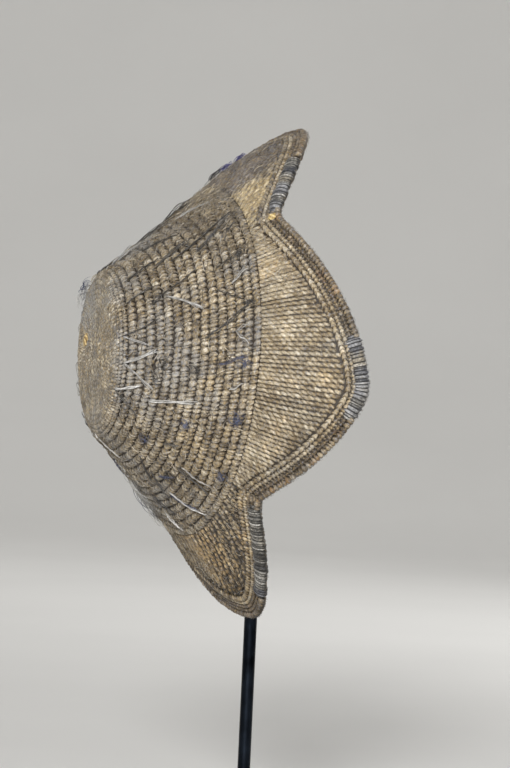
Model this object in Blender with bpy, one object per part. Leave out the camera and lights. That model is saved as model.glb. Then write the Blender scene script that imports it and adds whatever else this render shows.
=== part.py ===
"""A four-pointed raffia cap on a plain display stand, in metres, +Z up.

The cap is shown as it is displayed: its crown points to -X and its open side to +X. It is modelled
about its own axis, under the empty cap_axis: local +Z runs out of the crown's flat top, local +X
points to the front of the display (-Y) and local +Y points up. A depth is measured from the first
coil row towards the open side, so it runs along local -Z. The origin of the part is the middle of
the base's underside, where the rod stands.
"""

from collections import namedtuple
from math import atan2, cos, pi, radians, sin, tan

import bmesh
import bpy
from mathutils import Vector

MM = 0.001
GAP = 0.3 * MM

# Stand
BASE_SIDE = 110 * MM
BASE_THICK = 8 * MM
BASE_BEVEL = 1.2 * MM
ROD_DIAMETER = 5 * MM
ROD_BEND = 16 * MM
ROD_BEND_STEPS = 7

# Where the cap is held: height of its axis, distance of its first coil row from the rod, droop
CAP_HEIGHT = 190 * MM
CAP_REACH = 63.7 * MM
CAP_DROOP = radians(2.5)

# Crown: a hollow cone of coil rows between the flat top and the four points
TOP_DEPTH = -4.9 * MM
TOP_RADIUS = 29.5 * MM
CROWN_DEPTH = 36.5 * MM
CROWN_RADIUS = 67.7 * MM
CONE_HOLLOW = 0.9 * MM
SHOULDER_RADIUS = 10 * MM
SHOULDER_STEPS = 4
COIL_ROWS = 15
ROW_RELIEF = 0.75 * MM
ROW_CREST = (0.28, 0.72)
CROWN_WALL = 3.0 * MM
TOP_WALL = 2.4 * MM
INNER_STEPS = 5
CROWN_SIDES = 40
TOP_LEAN = radians(4.7)
TOP_LEAN_TURN = radians(44)
TOP_LEAN_FADE = 1.5

KNOT_RADIUS = 14.5 * MM
KNOT_TURN = radians(161)
KNOT_SIZE = Vector((4.6, 2.4, 1.6)) * MM

# Head of the stand in the narrow end of the crown
HEAD_DEPTH = 11 * MM

# The four points. turn: degrees about the axis; length: from the last coil row to the tip;
# start, end: slope of the sheet from the axis in degrees at the row and at the tip;
# lean: how far the tip lies to one side, as a share of half the point's width
Point = namedtuple("Point", "name turn length start end lean")
POINTS = (
    Point("front", 0, 42.6 * MM, 49.5, 10.4, -0.16),
    Point("upper", 90, 43.6 * MM, 48.1, 26.9, -0.12),
    Point("back", 180, 42.6 * MM, 49.5, 10.4, 0.16),
    Point("lower", 270, 40.0 * MM, 45.3, 54.5, 0.20),
)
POINTS_TURN = radians(3.0)
NOTCH_LENGTH = 13 * MM
FLANK_POWER = 1.42
TIP_POWER = 0.784
HALF_POINT = pi / 4

RIM_DIAMETER = 5.2 * MM
EDGING_DIAMETER = 2.4 * MM
PANEL_THICK = 2.2 * MM
RIM_CENTRE_BELOW = 1.1 * MM
EDGING_CENTRE_BELOW = 0.9 * MM
BORDER_SLANT = 1.17
BORDER_POINTS = 25
BORDER_END = 1.0 * MM
PANEL_ACROSS = 20
PANEL_ALONG = 5

Finish = namedtuple("Finish", "colour roughness metallic")
COIL_STRAW = Finish((0.40, 0.33, 0.21), 0.75, 0.0)
CORD_STRAW = Finish((0.47, 0.37, 0.21), 0.7, 0.0)
EDGE_STRAW = Finish((0.36, 0.31, 0.24), 0.8, 0.0)
KNOT_STRAW = Finish((0.62, 0.38, 0.08), 0.6, 0.0)
DARK_STEEL = Finish((0.05, 0.055, 0.065), 0.35, 1.0)
BLACK_PAINT = Finish((0.02, 0.02, 0.022), 0.5, 0.0)
GREY_FELT = Finish((0.12, 0.12, 0.125), 0.95, 0.0)


def clear_scene():
    for old in list(bpy.data.objects):
        bpy.data.objects.remove(old, do_unlink=True)


def dress(obj, finish):
    """Give an object its own material."""
    material = bpy.data.materials.new(obj.name)
    material.use_nodes = True
    shader = material.node_tree.nodes["Principled BSDF"]
    shader.inputs["Base Color"].default_value = (*finish.colour, 1.0)
    shader.inputs["Roughness"].default_value = finish.roughness
    shader.inputs["Metallic"].default_value = finish.metallic
    obj.data.materials.append(material)


def mesh_object(name, bm, finish, parent=None):
    """Turn a bmesh into a smooth-shaded object under its parent."""
    bmesh.ops.recalc_face_normals(bm, faces=bm.faces)
    mesh = bpy.data.meshes.new(name)
    bm.to_mesh(mesh)
    bm.free()
    mesh.shade_smooth()
    mesh.set_sharp_from_angle(angle=radians(50))
    obj = bpy.data.objects.new(name, mesh)
    bpy.context.scene.collection.objects.link(obj)
    obj.parent = parent
    dress(obj, finish)
    return obj


def tube_object(name, route, diameter, resolution, finish, parent=None):
    """A round bar or cord with closed ends along a route of points."""
    curve = bpy.data.curves.new(name, "CURVE")
    curve.dimensions = "3D"
    curve.bevel_depth = diameter / 2
    curve.bevel_resolution = resolution
    curve.use_fill_caps = True
    spline = curve.splines.new("POLY")
    spline.points.add(len(route) - 1)
    for point, place in zip(spline.points, route):
        point.co = (*place, 1.0)
    obj = bpy.data.objects.new(name, curve)
    bpy.context.scene.collection.objects.link(obj)
    obj.parent = parent
    dress(obj, finish)
    return obj


def cap_axis():
    """The empty that carries the cap: its +Z is the cap's own axis, out of the crown."""
    axis = bpy.data.objects.new("cap_axis", None)
    bpy.context.scene.collection.objects.link(axis)
    axis.location = (-CAP_REACH, 0, CAP_HEIGHT)
    axis.rotation_mode = "ZYX"
    axis.rotation_euler = (0, CAP_DROOP - pi / 2, -pi / 2)
    return axis


def leaned(depth, radius, turn):
    """A point of the cap in its own axes, with the lean of the flat top."""
    share = min(max((depth - TOP_DEPTH) / (CROWN_DEPTH - TOP_DEPTH), 0.0), 1.0)
    lift = min(radius, TOP_RADIUS) * tan(TOP_LEAN) * cos(turn - TOP_LEAN_TURN)
    depth -= lift * (1 - share) ** TOP_LEAN_FADE
    return Vector((radius * cos(turn), radius * sin(turn), -depth))


CONE_RUN = Vector((CROWN_DEPTH - TOP_DEPTH, CROWN_RADIUS - TOP_RADIUS))
CONE_ALONG = CONE_RUN.normalized()
CONE_OUT = Vector((-CONE_ALONG.y, CONE_ALONG.x))
CONE_SLOPE = CONE_RUN.angle(Vector((1, 0)))


def cone_point(share, below=0.0):
    """Depth and radius on the crown's side, from the edge of the flat top to the last row."""
    hollow = CONE_HOLLOW * 4 * share * (1 - share)
    return Vector((TOP_DEPTH, TOP_RADIUS)) + CONE_RUN * share - CONE_OUT * (hollow + below)


def shoulder_reach():
    """How far the round shoulder reaches from its sharp corner, on either side."""
    return SHOULDER_RADIUS * tan((pi / 2 - CONE_SLOPE) / 2)


def crown_outside():
    """Profile of the crown's outside: flat top, round shoulder, then a ridge for each row."""
    reach = shoulder_reach()
    flat = TOP_RADIUS - reach
    profile = [Vector((TOP_DEPTH, flat * share)) for share in (0.0, 0.4, 0.75, 1.0)]
    centre = Vector((TOP_DEPTH + SHOULDER_RADIUS, flat))
    for step in range(1, SHOULDER_STEPS):
        swing = (pi / 2 - CONE_SLOPE) * step / SHOULDER_STEPS
        profile.append(centre + SHOULDER_RADIUS * Vector((-cos(swing), sin(swing))))
    first = reach / CONE_RUN.length
    for row in range(COIL_ROWS):
        start = first + (1 - first) * row / COIL_ROWS
        pitch = (1 - first) / COIL_ROWS
        profile.append(cone_point(start, ROW_RELIEF))
        profile += [cone_point(start + pitch * crest) for crest in ROW_CREST]
    profile.append(cone_point(1.0, ROW_RELIEF))
    return profile


def crown_inside():
    """Profile of the crown's inside, from the open end to the middle of the top."""
    corner = inner_corner(CROWN_WALL, TOP_WALL)
    rim = cone_point(1.0, CROWN_WALL)
    side = [rim.lerp(corner, step / INNER_STEPS) for step in range(INNER_STEPS)]
    return side + [corner, Vector((corner.x, corner.y / 2)), Vector((corner.x, 0.0))]


def inner_corner(side_wall, top_wall):
    """Where the inside of the cone meets the inside of the flat top."""
    start = cone_point(0.0, side_wall)
    depth = TOP_DEPTH + top_wall
    return start + CONE_ALONG * ((depth - start.x) / CONE_ALONG.x)


def turned(profile):
    """Spin a closed profile of (depth, radius) about the cap's axis."""
    bm = bmesh.new()
    points = [bm.verts.new((p.y, 0, -p.x)) for p in profile]
    for one, other in zip(points, points[1:]):
        bm.edges.new((one, other))
    bmesh.ops.spin(bm, geom=bm.verts[:] + bm.edges[:], axis=(0, 0, 1), cent=(0, 0, 0),
                   angle=2 * pi, steps=CROWN_SIDES, use_merge=True)
    bmesh.ops.remove_doubles(bm, verts=bm.verts, dist=0.01 * MM)
    return bm


def lean(bm):
    """Move the points of a turned piece to the leaning top."""
    for vert in bm.verts:
        vert.co = leaned(-vert.co.z, vert.co.xy.length, atan2(vert.co.y, vert.co.x))


def crown(parent):
    bm = turned(crown_outside() + crown_inside())
    lean(bm)
    return mesh_object("crown", bm, COIL_STRAW, parent)


def support_head(parent):
    """A plain plug that follows the crown's inside, a small gap away from it."""
    corner = inner_corner(CROWN_WALL + GAP, TOP_WALL + GAP)
    mouth = corner + CONE_ALONG * (HEAD_DEPTH / CONE_ALONG.x)
    mouth -= CONE_OUT * CONE_HOLLOW
    bm = turned([Vector((corner.x, 0)), corner, mouth, Vector((mouth.x, 0))])
    lean(bm)
    return mesh_object("support_head", bm, GREY_FELT, parent), mouth.x


def crown_knot(parent):
    """The small knot that lies on the flat top."""
    bm = bmesh.new()
    bmesh.ops.create_uvsphere(bm, u_segments=10, v_segments=6, radius=0.5)
    bmesh.ops.scale(bm, vec=KNOT_SIZE, verts=bm.verts)
    knot = mesh_object("crown_knot", bm, KNOT_STRAW, parent)
    seat = leaned(TOP_DEPTH, KNOT_RADIUS, KNOT_TURN)
    knot.location = seat + Vector((0, 0, KNOT_SIZE.z / 2 + GAP))
    knot.rotation_euler = (0, 0, KNOT_TURN + pi / 2)
    return knot


def reach_of(point, side):
    """Length of a point's sheet from the last row; side runs from -1 to 1 across it."""
    span = 1 - point.lean if side > point.lean else 1 + point.lean
    away = min(abs(side - point.lean) / span, 1.0)
    return NOTCH_LENGTH + (point.length - NOTCH_LENGTH) * (1 - away ** FLANK_POWER) ** (1 / TIP_POWER)


def sheet_point(point, side, along, below=0.0):
    """A point of the sheet, at a side and a distance from the last row, below its outside."""
    start = radians(point.start)
    bend = (radians(point.end) - start) / point.length
    slope = start + bend * along
    depth = CROWN_DEPTH + (sin(slope) - sin(start)) / bend + below * sin(slope)
    radius = CROWN_RADIUS - (cos(slope) - cos(start)) / bend - below * cos(slope)
    turn = POINTS_TURN + radians(point.turn) + side * HALF_POINT
    return Vector((radius * cos(turn), radius * sin(turn), -depth))


def clear_side(point, room):
    """The side value that stays a distance clear of the plane between two points."""
    radius = sheet_point(point, 1.0, NOTCH_LENGTH).xy.length
    return 1 - room / radius / HALF_POINT


def across(point, share, limit):
    """Side value for a share from -1 to 1, with 0 on the tip."""
    return limit * share + point.lean * (1 - share * share)


def panel(point, parent):
    """The sheet of a point: a grid laid on its curved form and given a wall."""
    border = (RIM_DIAMETER + EDGING_DIAMETER + 2 * GAP) * BORDER_SLANT
    limit = clear_side(point, GAP * 0.7)
    bm = bmesh.new()
    bmesh.ops.create_grid(bm, x_segments=PANEL_ACROSS, y_segments=PANEL_ALONG, size=1)
    for vert in bm.verts:
        side = across(point, vert.co.x, limit)
        far = reach_of(point, side) - border
        along = GAP * 1.3 + (far - GAP * 1.3) * (vert.co.y + 1) / 2
        vert.co = sheet_point(point, side, along)
    for face in bm.faces:
        face.normal_update()
        if face.normal.dot(Vector((0, 0, 1))) < 0:
            face.normal_flip()
    mesh = mesh_object("panel_" + point.name, bm, CORD_STRAW, parent)
    wall = mesh.modifiers.new("wall", "SOLIDIFY")
    wall.thickness = PANEL_THICK
    wall.offset = -1
    return mesh


def border_route(point, inset, below):
    """Route of a cord that follows the edge of a point, inset from it, with square ends."""
    limit = clear_side(point, GAP * 0.7 + BORDER_END)
    end = clear_side(point, GAP * 0.7)
    route = []
    for index in range(BORDER_POINTS):
        side = across(point, 2 * index / (BORDER_POINTS - 1) - 1, limit)
        along = reach_of(point, side) - inset * BORDER_SLANT
        route.append(sheet_point(point, side, along, below))
        if index in (0, BORDER_POINTS - 1):
            square = sheet_point(point, end if index else -end, along, below)
            route.insert(len(route) if index else 0, square)
    return route


def rim(point, parent):
    route = border_route(point, RIM_DIAMETER / 2, RIM_CENTRE_BELOW)
    return tube_object("rim_" + point.name, route, RIM_DIAMETER, 3, EDGE_STRAW, parent)


def edging(point, parent):
    inset = RIM_DIAMETER + GAP + EDGING_DIAMETER / 2
    route = border_route(point, inset, EDGING_CENTRE_BELOW)
    return tube_object("edging_" + point.name, route, EDGING_DIAMETER, 2, CORD_STRAW, parent)


def stand_base():
    bm = bmesh.new()
    bmesh.ops.create_cube(bm, size=1)
    bmesh.ops.scale(bm, vec=(BASE_SIDE, BASE_SIDE, BASE_THICK), verts=bm.verts)
    bmesh.ops.translate(bm, vec=(0, 0, BASE_THICK / 2), verts=bm.verts)
    top = [edge for edge in bm.edges if all(vert.co.z > BASE_THICK / 2 for vert in edge.verts)]
    bmesh.ops.bevel(bm, geom=top, offset=BASE_BEVEL, offset_type="OFFSET", segments=2,
                    profile=0.5, affect="EDGES", material=-1)
    return mesh_object("stand_base", bm, BLACK_PAINT)


def stand_rod(axis, mouth):
    """Up from the base, round a bend and along the cap's axis to the head."""
    end = axis.matrix_world @ Vector((0, 0, -mouth - GAP))
    along = (axis.matrix_world.to_3x3() @ Vector((0, 0, 1))).normalized()
    level = end - along * (end.x / along.x)
    inner = ROD_BEND * tan((pi / 2 - CAP_DROOP) / 2)
    foot = Vector((0, 0, BASE_THICK + GAP))
    route = [foot, Vector((0, 0, (level.z - inner + foot.z) / 2))]
    centre = Vector((-ROD_BEND, 0, level.z - inner))
    for step in range(ROD_BEND_STEPS + 1):
        swing = (pi / 2 - CAP_DROOP) * step / ROD_BEND_STEPS
        route.append(centre + ROD_BEND * Vector((cos(swing), 0, sin(swing))))
    route.append(end)
    return tube_object("stand_rod", route, ROD_DIAMETER, 4, DARK_STEEL)


def build():
    clear_scene()
    axis = cap_axis()
    bpy.context.view_layer.update()
    crown(axis)
    crown_knot(axis)
    head, mouth = support_head(axis)
    for point in POINTS:
        panel(point, axis)
        edging(point, axis)
        rim(point, axis)
    stand_base()
    stand_rod(axis, mouth)


build()
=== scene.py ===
"""A four-pointed coiled raffia cap on its display stand, dressed for a plain studio picture.

The cap lies about its own axis, which runs level from the flat top of its crown (at -X) to its
open side (at +X). Lengths in the classes are in millimetres; they become metres when a mesh is
written. A place on the crown is (length, turn, lift): the length along its outside from the middle
of the flat top, the turn about the axis, and the lift above the outside. A place on one of the
four points is (side, along, lift): side runs from -1 to 1 across it, along from the last coil row.
"""

import logging
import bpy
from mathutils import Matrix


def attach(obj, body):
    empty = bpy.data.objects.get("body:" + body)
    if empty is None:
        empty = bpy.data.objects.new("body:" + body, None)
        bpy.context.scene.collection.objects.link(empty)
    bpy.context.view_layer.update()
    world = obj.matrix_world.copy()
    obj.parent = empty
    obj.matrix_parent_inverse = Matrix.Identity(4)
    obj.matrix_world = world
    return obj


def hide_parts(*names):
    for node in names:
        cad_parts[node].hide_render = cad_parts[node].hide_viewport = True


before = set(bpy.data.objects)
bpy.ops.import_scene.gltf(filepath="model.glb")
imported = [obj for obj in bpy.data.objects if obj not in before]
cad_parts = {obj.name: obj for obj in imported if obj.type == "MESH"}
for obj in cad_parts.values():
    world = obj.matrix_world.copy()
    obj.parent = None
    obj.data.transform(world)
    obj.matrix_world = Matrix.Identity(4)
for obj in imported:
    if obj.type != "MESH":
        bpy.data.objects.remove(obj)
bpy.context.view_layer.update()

import zlib
from dataclasses import dataclass, field, replace
from enum import Enum
from functools import partial
from math import atan2, cos, hypot, pi, radians, sin, tan
from typing import Callable, Iterable

import bmesh
import bpy
import numpy as np
from mathutils import Matrix, Vector

LOG = logging.getLogger("raffia_cap")
MM = 0.001
# Points closer than this in metres are merged, and so many points fill a batch of grids
MERGE = 2e-6
BATCH = 3000
# Radius that the crown gains for each millimetre of length down its side
SIDE_GAIN = 0.68
# How sharply a notch between beads opens, and how far the grain jumps from bead to bead
NOTCH_POWER = 1.8
GRAIN_JUMP = 20
# What the dark core's finish reads everywhere; its low groove value paints it as shade
CORE_TONE = 0.4
CORE_SHADE = 0.3
Array = np.ndarray


def joined(*parts: Array) -> Array:
    """Rows with one value from each array."""
    return np.stack(parts, axis=-1)


def draws(name: str) -> np.random.Generator:
    """Random numbers that belong to one piece and are the same in every run.

    Args:
        name: the piece's name.

    Returns:
        A generator seeded from the name.
    """
    return np.random.default_rng(zlib.crc32(name.encode()))


def wave(share: Array, low: int, high: int, seed: str) -> Array:
    """A smooth closed waver, about -1 to 1, along something that closes on itself.

    Args:
        share: where along it, from 0 to 1.
        low: fewest waves in it.
        high: most waves in it.
        seed: name that picks the waves.

    Returns:
        The waver at each share.
    """
    rng = draws(seed)
    total = np.zeros_like(share, dtype=float)
    for count in range(low, high + 1):
        total += np.sin(2 * pi * (count * share + rng.random())) * rng.normal()
    return total / (1.4 * (high - low + 1) ** 0.5)


# The form of the cap

@dataclass(frozen=True)
class CapForm:
    """The cap's own axis and the outside of its crown, in millimetres and radians."""

    reach: float = 63.7
    height: float = 190.0
    droop: float = radians(2.5)
    top_depth: float = -4.9
    top_radius: float = 29.5
    crown_depth: float = 36.5
    crown_radius: float = 67.7
    hollow: float = 0.9
    shoulder: float = 10.0
    top_lean: float = radians(4.7)
    lean_turn: float = radians(44)
    lean_fade: float = 1.5

    @property
    def run(self) -> tuple[float, float]:
        """Depth and radius gained down the crown's side."""
        return self.crown_depth - self.top_depth, self.crown_radius - self.top_radius

    @property
    def side_length(self) -> float:
        """Length of the crown's side from its sharp corner."""
        return hypot(*self.run)

    @property
    def slope(self) -> float:
        """Angle of the crown's side from the axis."""
        return atan2(self.run[1], self.run[0])

    @property
    def corner_cut(self) -> float:
        """How far the round shoulder reaches from the sharp corner."""
        return self.shoulder * tan((pi / 2 - self.slope) / 2)

    @property
    def flat(self) -> float:
        """Radius of the flat part of the top."""
        return self.top_radius - self.corner_cut

    @property
    def bend(self) -> float:
        """Length of the round shoulder."""
        return self.shoulder * (pi / 2 - self.slope)

    @property
    def total(self) -> float:
        """Length of the outside from the middle of the top to the last coil row."""
        return self.flat + self.bend + self.side_length - self.corner_cut

    def world(self, depth: Array, radius: Array, turn: Array) -> Array:
        """Places given about the cap's axis, in the frame.

        Args:
            depth: depth from the first coil row towards the open side.
            radius: distance from the axis.
            turn: angle about the axis, 0 at the display's front and a quarter turn at the top.

        Returns:
            An array of places, one row each.
        """
        share = np.clip((depth - self.top_depth) / self.run[0], 0, 1)
        lift = np.minimum(radius, self.top_radius) * tan(self.top_lean)
        depth = depth - lift * np.cos(turn - self.lean_turn) * (1 - share) ** self.lean_fade
        front, up, back = radius * np.cos(turn), radius * np.sin(turn), -depth
        x = -self.reach + up * sin(self.droop) - back * cos(self.droop)
        z = self.height + up * cos(self.droop) + back * sin(self.droop)
        return joined(x, -front, z)

    def crown(self, length: Array, turn: Array, lift: Array, slip: Array = 0.0) -> Array:
        """Places on or above the crown's outside.

        Args:
            length: length along the outside from the middle of the top.
            turn: angle about the axis.
            lift: height above the outside.
            slip: shift along the outside, square to the lift at that length.

        Returns:
            An array of places.
        """
        length, turn, lift, slip = np.broadcast_arrays(length, turn, lift, slip)
        swing = np.clip((length - self.flat) / self.shoulder, 0, pi / 2 - self.slope)
        past = np.maximum(length - self.flat - self.bend, 0)
        share = np.clip((self.corner_cut + past) / self.side_length, 0, None)
        sag = np.where(past > 0, self.hollow * 4 * share * (1 - share), 0)
        depth = self.top_depth + self.shoulder * (1 - np.cos(swing))
        radius = np.minimum(length, self.flat) + self.shoulder * np.sin(swing)
        out, down = -np.cos(swing), np.sin(swing)
        depth = depth + past * down + (lift - sag) * out + slip * down
        radius = radius - past * out + (lift - sag) * down - slip * out
        return self.world(depth, radius, turn)

    def radius_at(self, length: float) -> float:
        """Distance from the axis of the crown's outside at a length."""
        return self.crown_radius - (self.total - length) * sin(self.slope)


CAP = CapForm()


@dataclass(frozen=True)
class CapPoint:
    """One of the four flaring points: a sheet that bends as it runs out, with a V-shaped edge."""

    name: str
    turn: float
    length: float
    start: float
    end: float
    lean: float
    first_turn: float = radians(3.0)
    notch: float = 13.0
    flank_power: float = 1.42
    tip_power: float = 0.784
    half: float = pi / 4
    border_slant: float = 1.17

    def reach(self, side: Array) -> Array:
        """Length of the sheet from the last coil row to its edge, at each side value."""
        span = np.where(side > self.lean, 1 - self.lean, 1 + self.lean)
        away = np.clip(np.abs(side - self.lean) / span, 0, 1)
        bulge = (1 - away ** self.flank_power) ** (1 / self.tip_power)
        return self.notch + (self.length - self.notch) * bulge

    def sheet(self, side: Array, along: Array, lift: Array, shift: Array = 0.0) -> Array:
        """Places on or above the outside of the sheet.

        Args:
            side: from -1 to 1 across the point.
            along: length from the last coil row.
            lift: height above the outside.
            shift: sideways distance from that side value.

        Returns:
            An array of places.
        """
        start = radians(self.start)
        bend = (radians(self.end) - start) / self.length
        slope = start + bend * along
        depth = CAP.crown_depth + (np.sin(slope) - sin(start)) / bend - lift * np.sin(slope)
        radius = CAP.crown_radius - (np.cos(slope) - cos(start)) / bend
        turn = self.first_turn + radians(self.turn) + side * self.half + shift / radius
        return CAP.world(depth, radius + lift * np.cos(slope), turn)

    def radius_at(self, along: Array) -> Array:
        """Distance from the cap's axis of the sheet at a length along it."""
        start = radians(self.start)
        bend = (radians(self.end) - start) / self.length
        return CAP.crown_radius - (np.cos(start + bend * along) - cos(start)) / bend


POINTS = (
    CapPoint("front", turn=0, length=42.6, start=49.5, end=10.4, lean=-0.16),
    CapPoint("upper", turn=90, length=43.6, start=48.1, end=26.9, lean=-0.12),
    CapPoint("back", turn=180, length=42.6, start=49.5, end=10.4, lean=0.16),
    CapPoint("lower", turn=270, length=40.0, start=45.3, end=54.5, lean=0.20),
)


class EdgeLine:
    """A line that keeps one distance from the edge of a point, measured by its length."""

    SAMPLES = 301
    EDGE_SAMPLES = 400
    EDGE_LIMIT = 1.2
    DEEPEST = 2.6
    ROUNDS = 13
    SMOOTHING = 15

    def __init__(self, point: CapPoint, inset: float, past: float = 0.0) -> None:
        """Find the line and measure it.

        Args:
            point: the point whose edge it follows.
            inset: distance in from the edge.
            past: how far each end runs past the notch.
        """
        self.point = point
        limit = 1 + past / (point.radius_at(point.notch) * point.half)
        share = np.linspace(-1, 1, self.SAMPLES)
        self.side = limit * share + point.lean * (1 - share * share)
        edge_side = np.linspace(-self.EDGE_LIMIT, self.EDGE_LIMIT, self.EDGE_SAMPLES)
        edge_along = point.reach(np.clip(edge_side, -1, 1))
        high = point.reach(np.clip(self.side, -1, 1))
        low = high - self.DEEPEST * inset - 0.1
        for _ in range(self.ROUNDS):
            middle = (low + high) / 2
            width = point.radius_at(middle)[:, None] * point.half
            gap = np.hypot((edge_side[None] - self.side[:, None]) * width,
                           edge_along[None] - middle[:, None]).min(axis=1)
            low, high = np.where(gap > inset, middle, low), np.where(gap > inset, high, middle)
        window = np.hanning(self.SMOOTHING)
        padded = np.pad(middle, self.SMOOTHING // 2, mode="edge")
        self.along = np.convolve(padded, window / window.sum(), mode="valid")
        width = point.radius_at(self.along) * point.half
        across = np.gradient(self.side) * width
        onward = np.gradient(self.along)
        step = np.hypot(across, onward)
        self.across, self.onward = across / step, onward / step
        self.mark = np.concatenate([[0], np.cumsum((step[1:] + step[:-1]) / 2)])
        self.length = float(self.mark[-1])

    def place(self, mark: Array, out: Array, lift: Array) -> Array:
        """Places beside the line.

        Args:
            mark: length along the line.
            out: distance towards the edge of the point.
            lift: height above the outside of the sheet.

        Returns:
            An array of places.
        """
        side = np.interp(mark, self.mark, self.side)
        along = np.interp(mark, self.mark, self.along)
        across = np.interp(mark, self.mark, self.across)
        onward = np.interp(mark, self.mark, self.onward)
        return self.point.sheet(side, along + out * across, lift, -out * onward)

    def mark_of(self, side: float) -> float:
        """Length along the line where it has a side value."""
        return float(np.interp(side, self.side, self.mark))


# Meshes laid on the form

@dataclass
class Laid:
    """Where the points of a mesh go, and what its finish reads from them."""

    place: Array
    grain: Array
    tone: Array | float
    # groove is painted shade: 1 where a place lies open, down to 0 deep in a gap, where the finish
    # mixes in its gap colour
    groove: Array | float
    age: Array | float = 0.0


@dataclass(frozen=True)
class Stain:
    """A soft-edged patch of one look: dusty grey where its age is above zero, golden below.

    Its place is (turn in degrees, length) on the crown and (side, along) on a point.
    """

    turn: float
    down: float
    size: float
    age: float


def patches(*rows: tuple[float, float, float, float]) -> tuple[Stain, ...]:
    """Stains from rows of their values."""
    return tuple(Stain(*row) for row in rows)


def aged(stains: Iterable[Stain], turn: Array, down: Array, width: Array,
         whole: float = 0.0) -> Array:
    """The age that stains give to places.

    Args:
        stains: the stains.
        turn: the places' first coordinate, in the stains' unit.
        down: their second coordinate, in millimetres.
        width: millimetres in one unit of the first coordinate.
        whole: what the first coordinate comes round after, or 0.

    Returns:
        The age of each place.
    """
    total = np.zeros(np.broadcast(turn, down).shape)
    for stain in stains:
        apart = turn - stain.turn
        if whole:
            apart = (apart + whole / 2) % whole - whole / 2
        apart2 = (apart * width) ** 2 + (down - stain.down) ** 2
        total = total + stain.age * np.exp(-apart2 / stain.size ** 2)
    return total


def lay(name: str, across: int, along: Iterable[int],
        place: Callable[[Array, Array, Array], Laid]) -> bpy.types.Object:
    """Make an object of grids laid on a form, each closing into a cord or staying flat.

    The grids are made in batches, because the operator slows as its mesh fills.

    Args:
        name: the piece's name.
        across: faces across each grid.
        along: faces along each grid, a number for each.
        place: gives the Laid for arrays of grid number, share across and share along.

    Returns:
        The object.
    """
    rows = np.array(list(along))
    mesh, bm, batches = bpy.data.meshes.new(name), bmesh.new(), []
    for number, count in enumerate(rows):
        bmesh.ops.create_grid(bm, x_segments=across, y_segments=int(count), size=0.5,
                              matrix=Matrix.Translation((2 * number, 0, 0)))
        if len(bm.verts) > BATCH:
            batches.append(bpy.data.meshes.new("batch"))
            bm.to_mesh(batches[-1])
            bm.clear()
    for batch in batches:
        bm.from_mesh(batch)
        bpy.data.meshes.remove(batch)
    bm.to_mesh(mesh)
    bm.free()
    flat = np.empty(len(mesh.vertices) * 3, np.float32)
    mesh.vertices.foreach_get("co", flat)
    flat = flat.reshape(-1, 3).astype(float)
    number = np.rint(flat[:, 0] / 2).astype(int)
    s = np.rint((flat[:, 0] - 2 * number + 0.5) * across) / across
    t = np.rint((flat[:, 1] + 0.5) * rows[number]) / rows[number]
    laid = place(number, s, t)
    mesh.vertices.foreach_set("co", (laid.place * MM).astype(np.float32).ravel())
    layer = mesh.attributes.new("grain", "FLOAT_VECTOR", "POINT")
    layer.data.foreach_set("vector", laid.grain.astype(np.float32).ravel())
    for key in ("tone", "groove", "age"):
        layer = mesh.attributes.new(key, "FLOAT", "POINT")
        values = np.broadcast_to(getattr(laid, key), s.shape)
        layer.data.foreach_set("value", values.astype(np.float32))
    return finish_mesh(name, mesh)


def new_object(name: str, data: bpy.types.ID) -> bpy.types.Object:
    """An object of that data, in the scene."""
    made = bpy.data.objects.new(name, data)
    bpy.context.scene.collection.objects.link(made)
    return made


def finish_mesh(name: str, mesh: bpy.types.Mesh) -> bpy.types.Object:
    """Close a mesh's seams and poles, point its faces outwards and make its smooth object."""
    bm = bmesh.new()
    bm.from_mesh(mesh)
    bmesh.ops.remove_doubles(bm, verts=bm.verts, dist=MERGE)
    bmesh.ops.dissolve_degenerate(bm, edges=bm.edges, dist=MERGE)
    bmesh.ops.recalc_face_normals(bm, faces=bm.faces)
    bm.to_mesh(mesh)
    bm.free()
    mesh.shade_smooth()
    return new_object(name, mesh)


def thicken(piece: bpy.types.Object, wall: float) -> bpy.types.Object:
    """Give a sheet a wall of that many millimetres, half on each side."""
    solid = piece.modifiers.new("wall", "SOLIDIFY")
    solid.thickness, solid.offset = wall * MM, 0
    return piece


def spun(name: str, profile: Iterable[tuple[float, float]], steps: int,
         place: Callable[[Array], Array]) -> bpy.types.Object:
    """Spin a profile about the Z axis.

    Args:
        name: the object's name.
        profile: radii and heights, in order.
        steps: faces round the axis.
        place: gives places in metres for the spun points.

    Returns:
        The object.
    """
    bm = bmesh.new()
    verts = [bm.verts.new((radius, 0, height)) for radius, height in profile]
    for one, other in zip(verts, verts[1:]):
        bm.edges.new((one, other))
    bmesh.ops.spin(bm, geom=bm.verts[:] + bm.edges[:], axis=(0, 0, 1), cent=(0, 0, 0),
                   angle=2 * pi, steps=steps, use_merge=True)
    for vert, spot in zip(bm.verts, place(np.array([vert.co for vert in bm.verts]))):
        vert.co = spot
    mesh = bpy.data.meshes.new(name)
    bm.to_mesh(mesh)
    bm.free()
    return finish_mesh(name, mesh)


# Finishes

def linear(hexa: str) -> tuple[float, float, float, float]:
    """Turn an sRGB hex colour into linear red, green, blue and alpha."""
    parts = [int(hexa[i:i + 2], 16) / 255 for i in (1, 3, 5)]
    return (*[p / 12.92 if p <= 0.04045 else ((p + 0.055) / 1.055) ** 2.4 for p in parts], 1.0)


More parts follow.
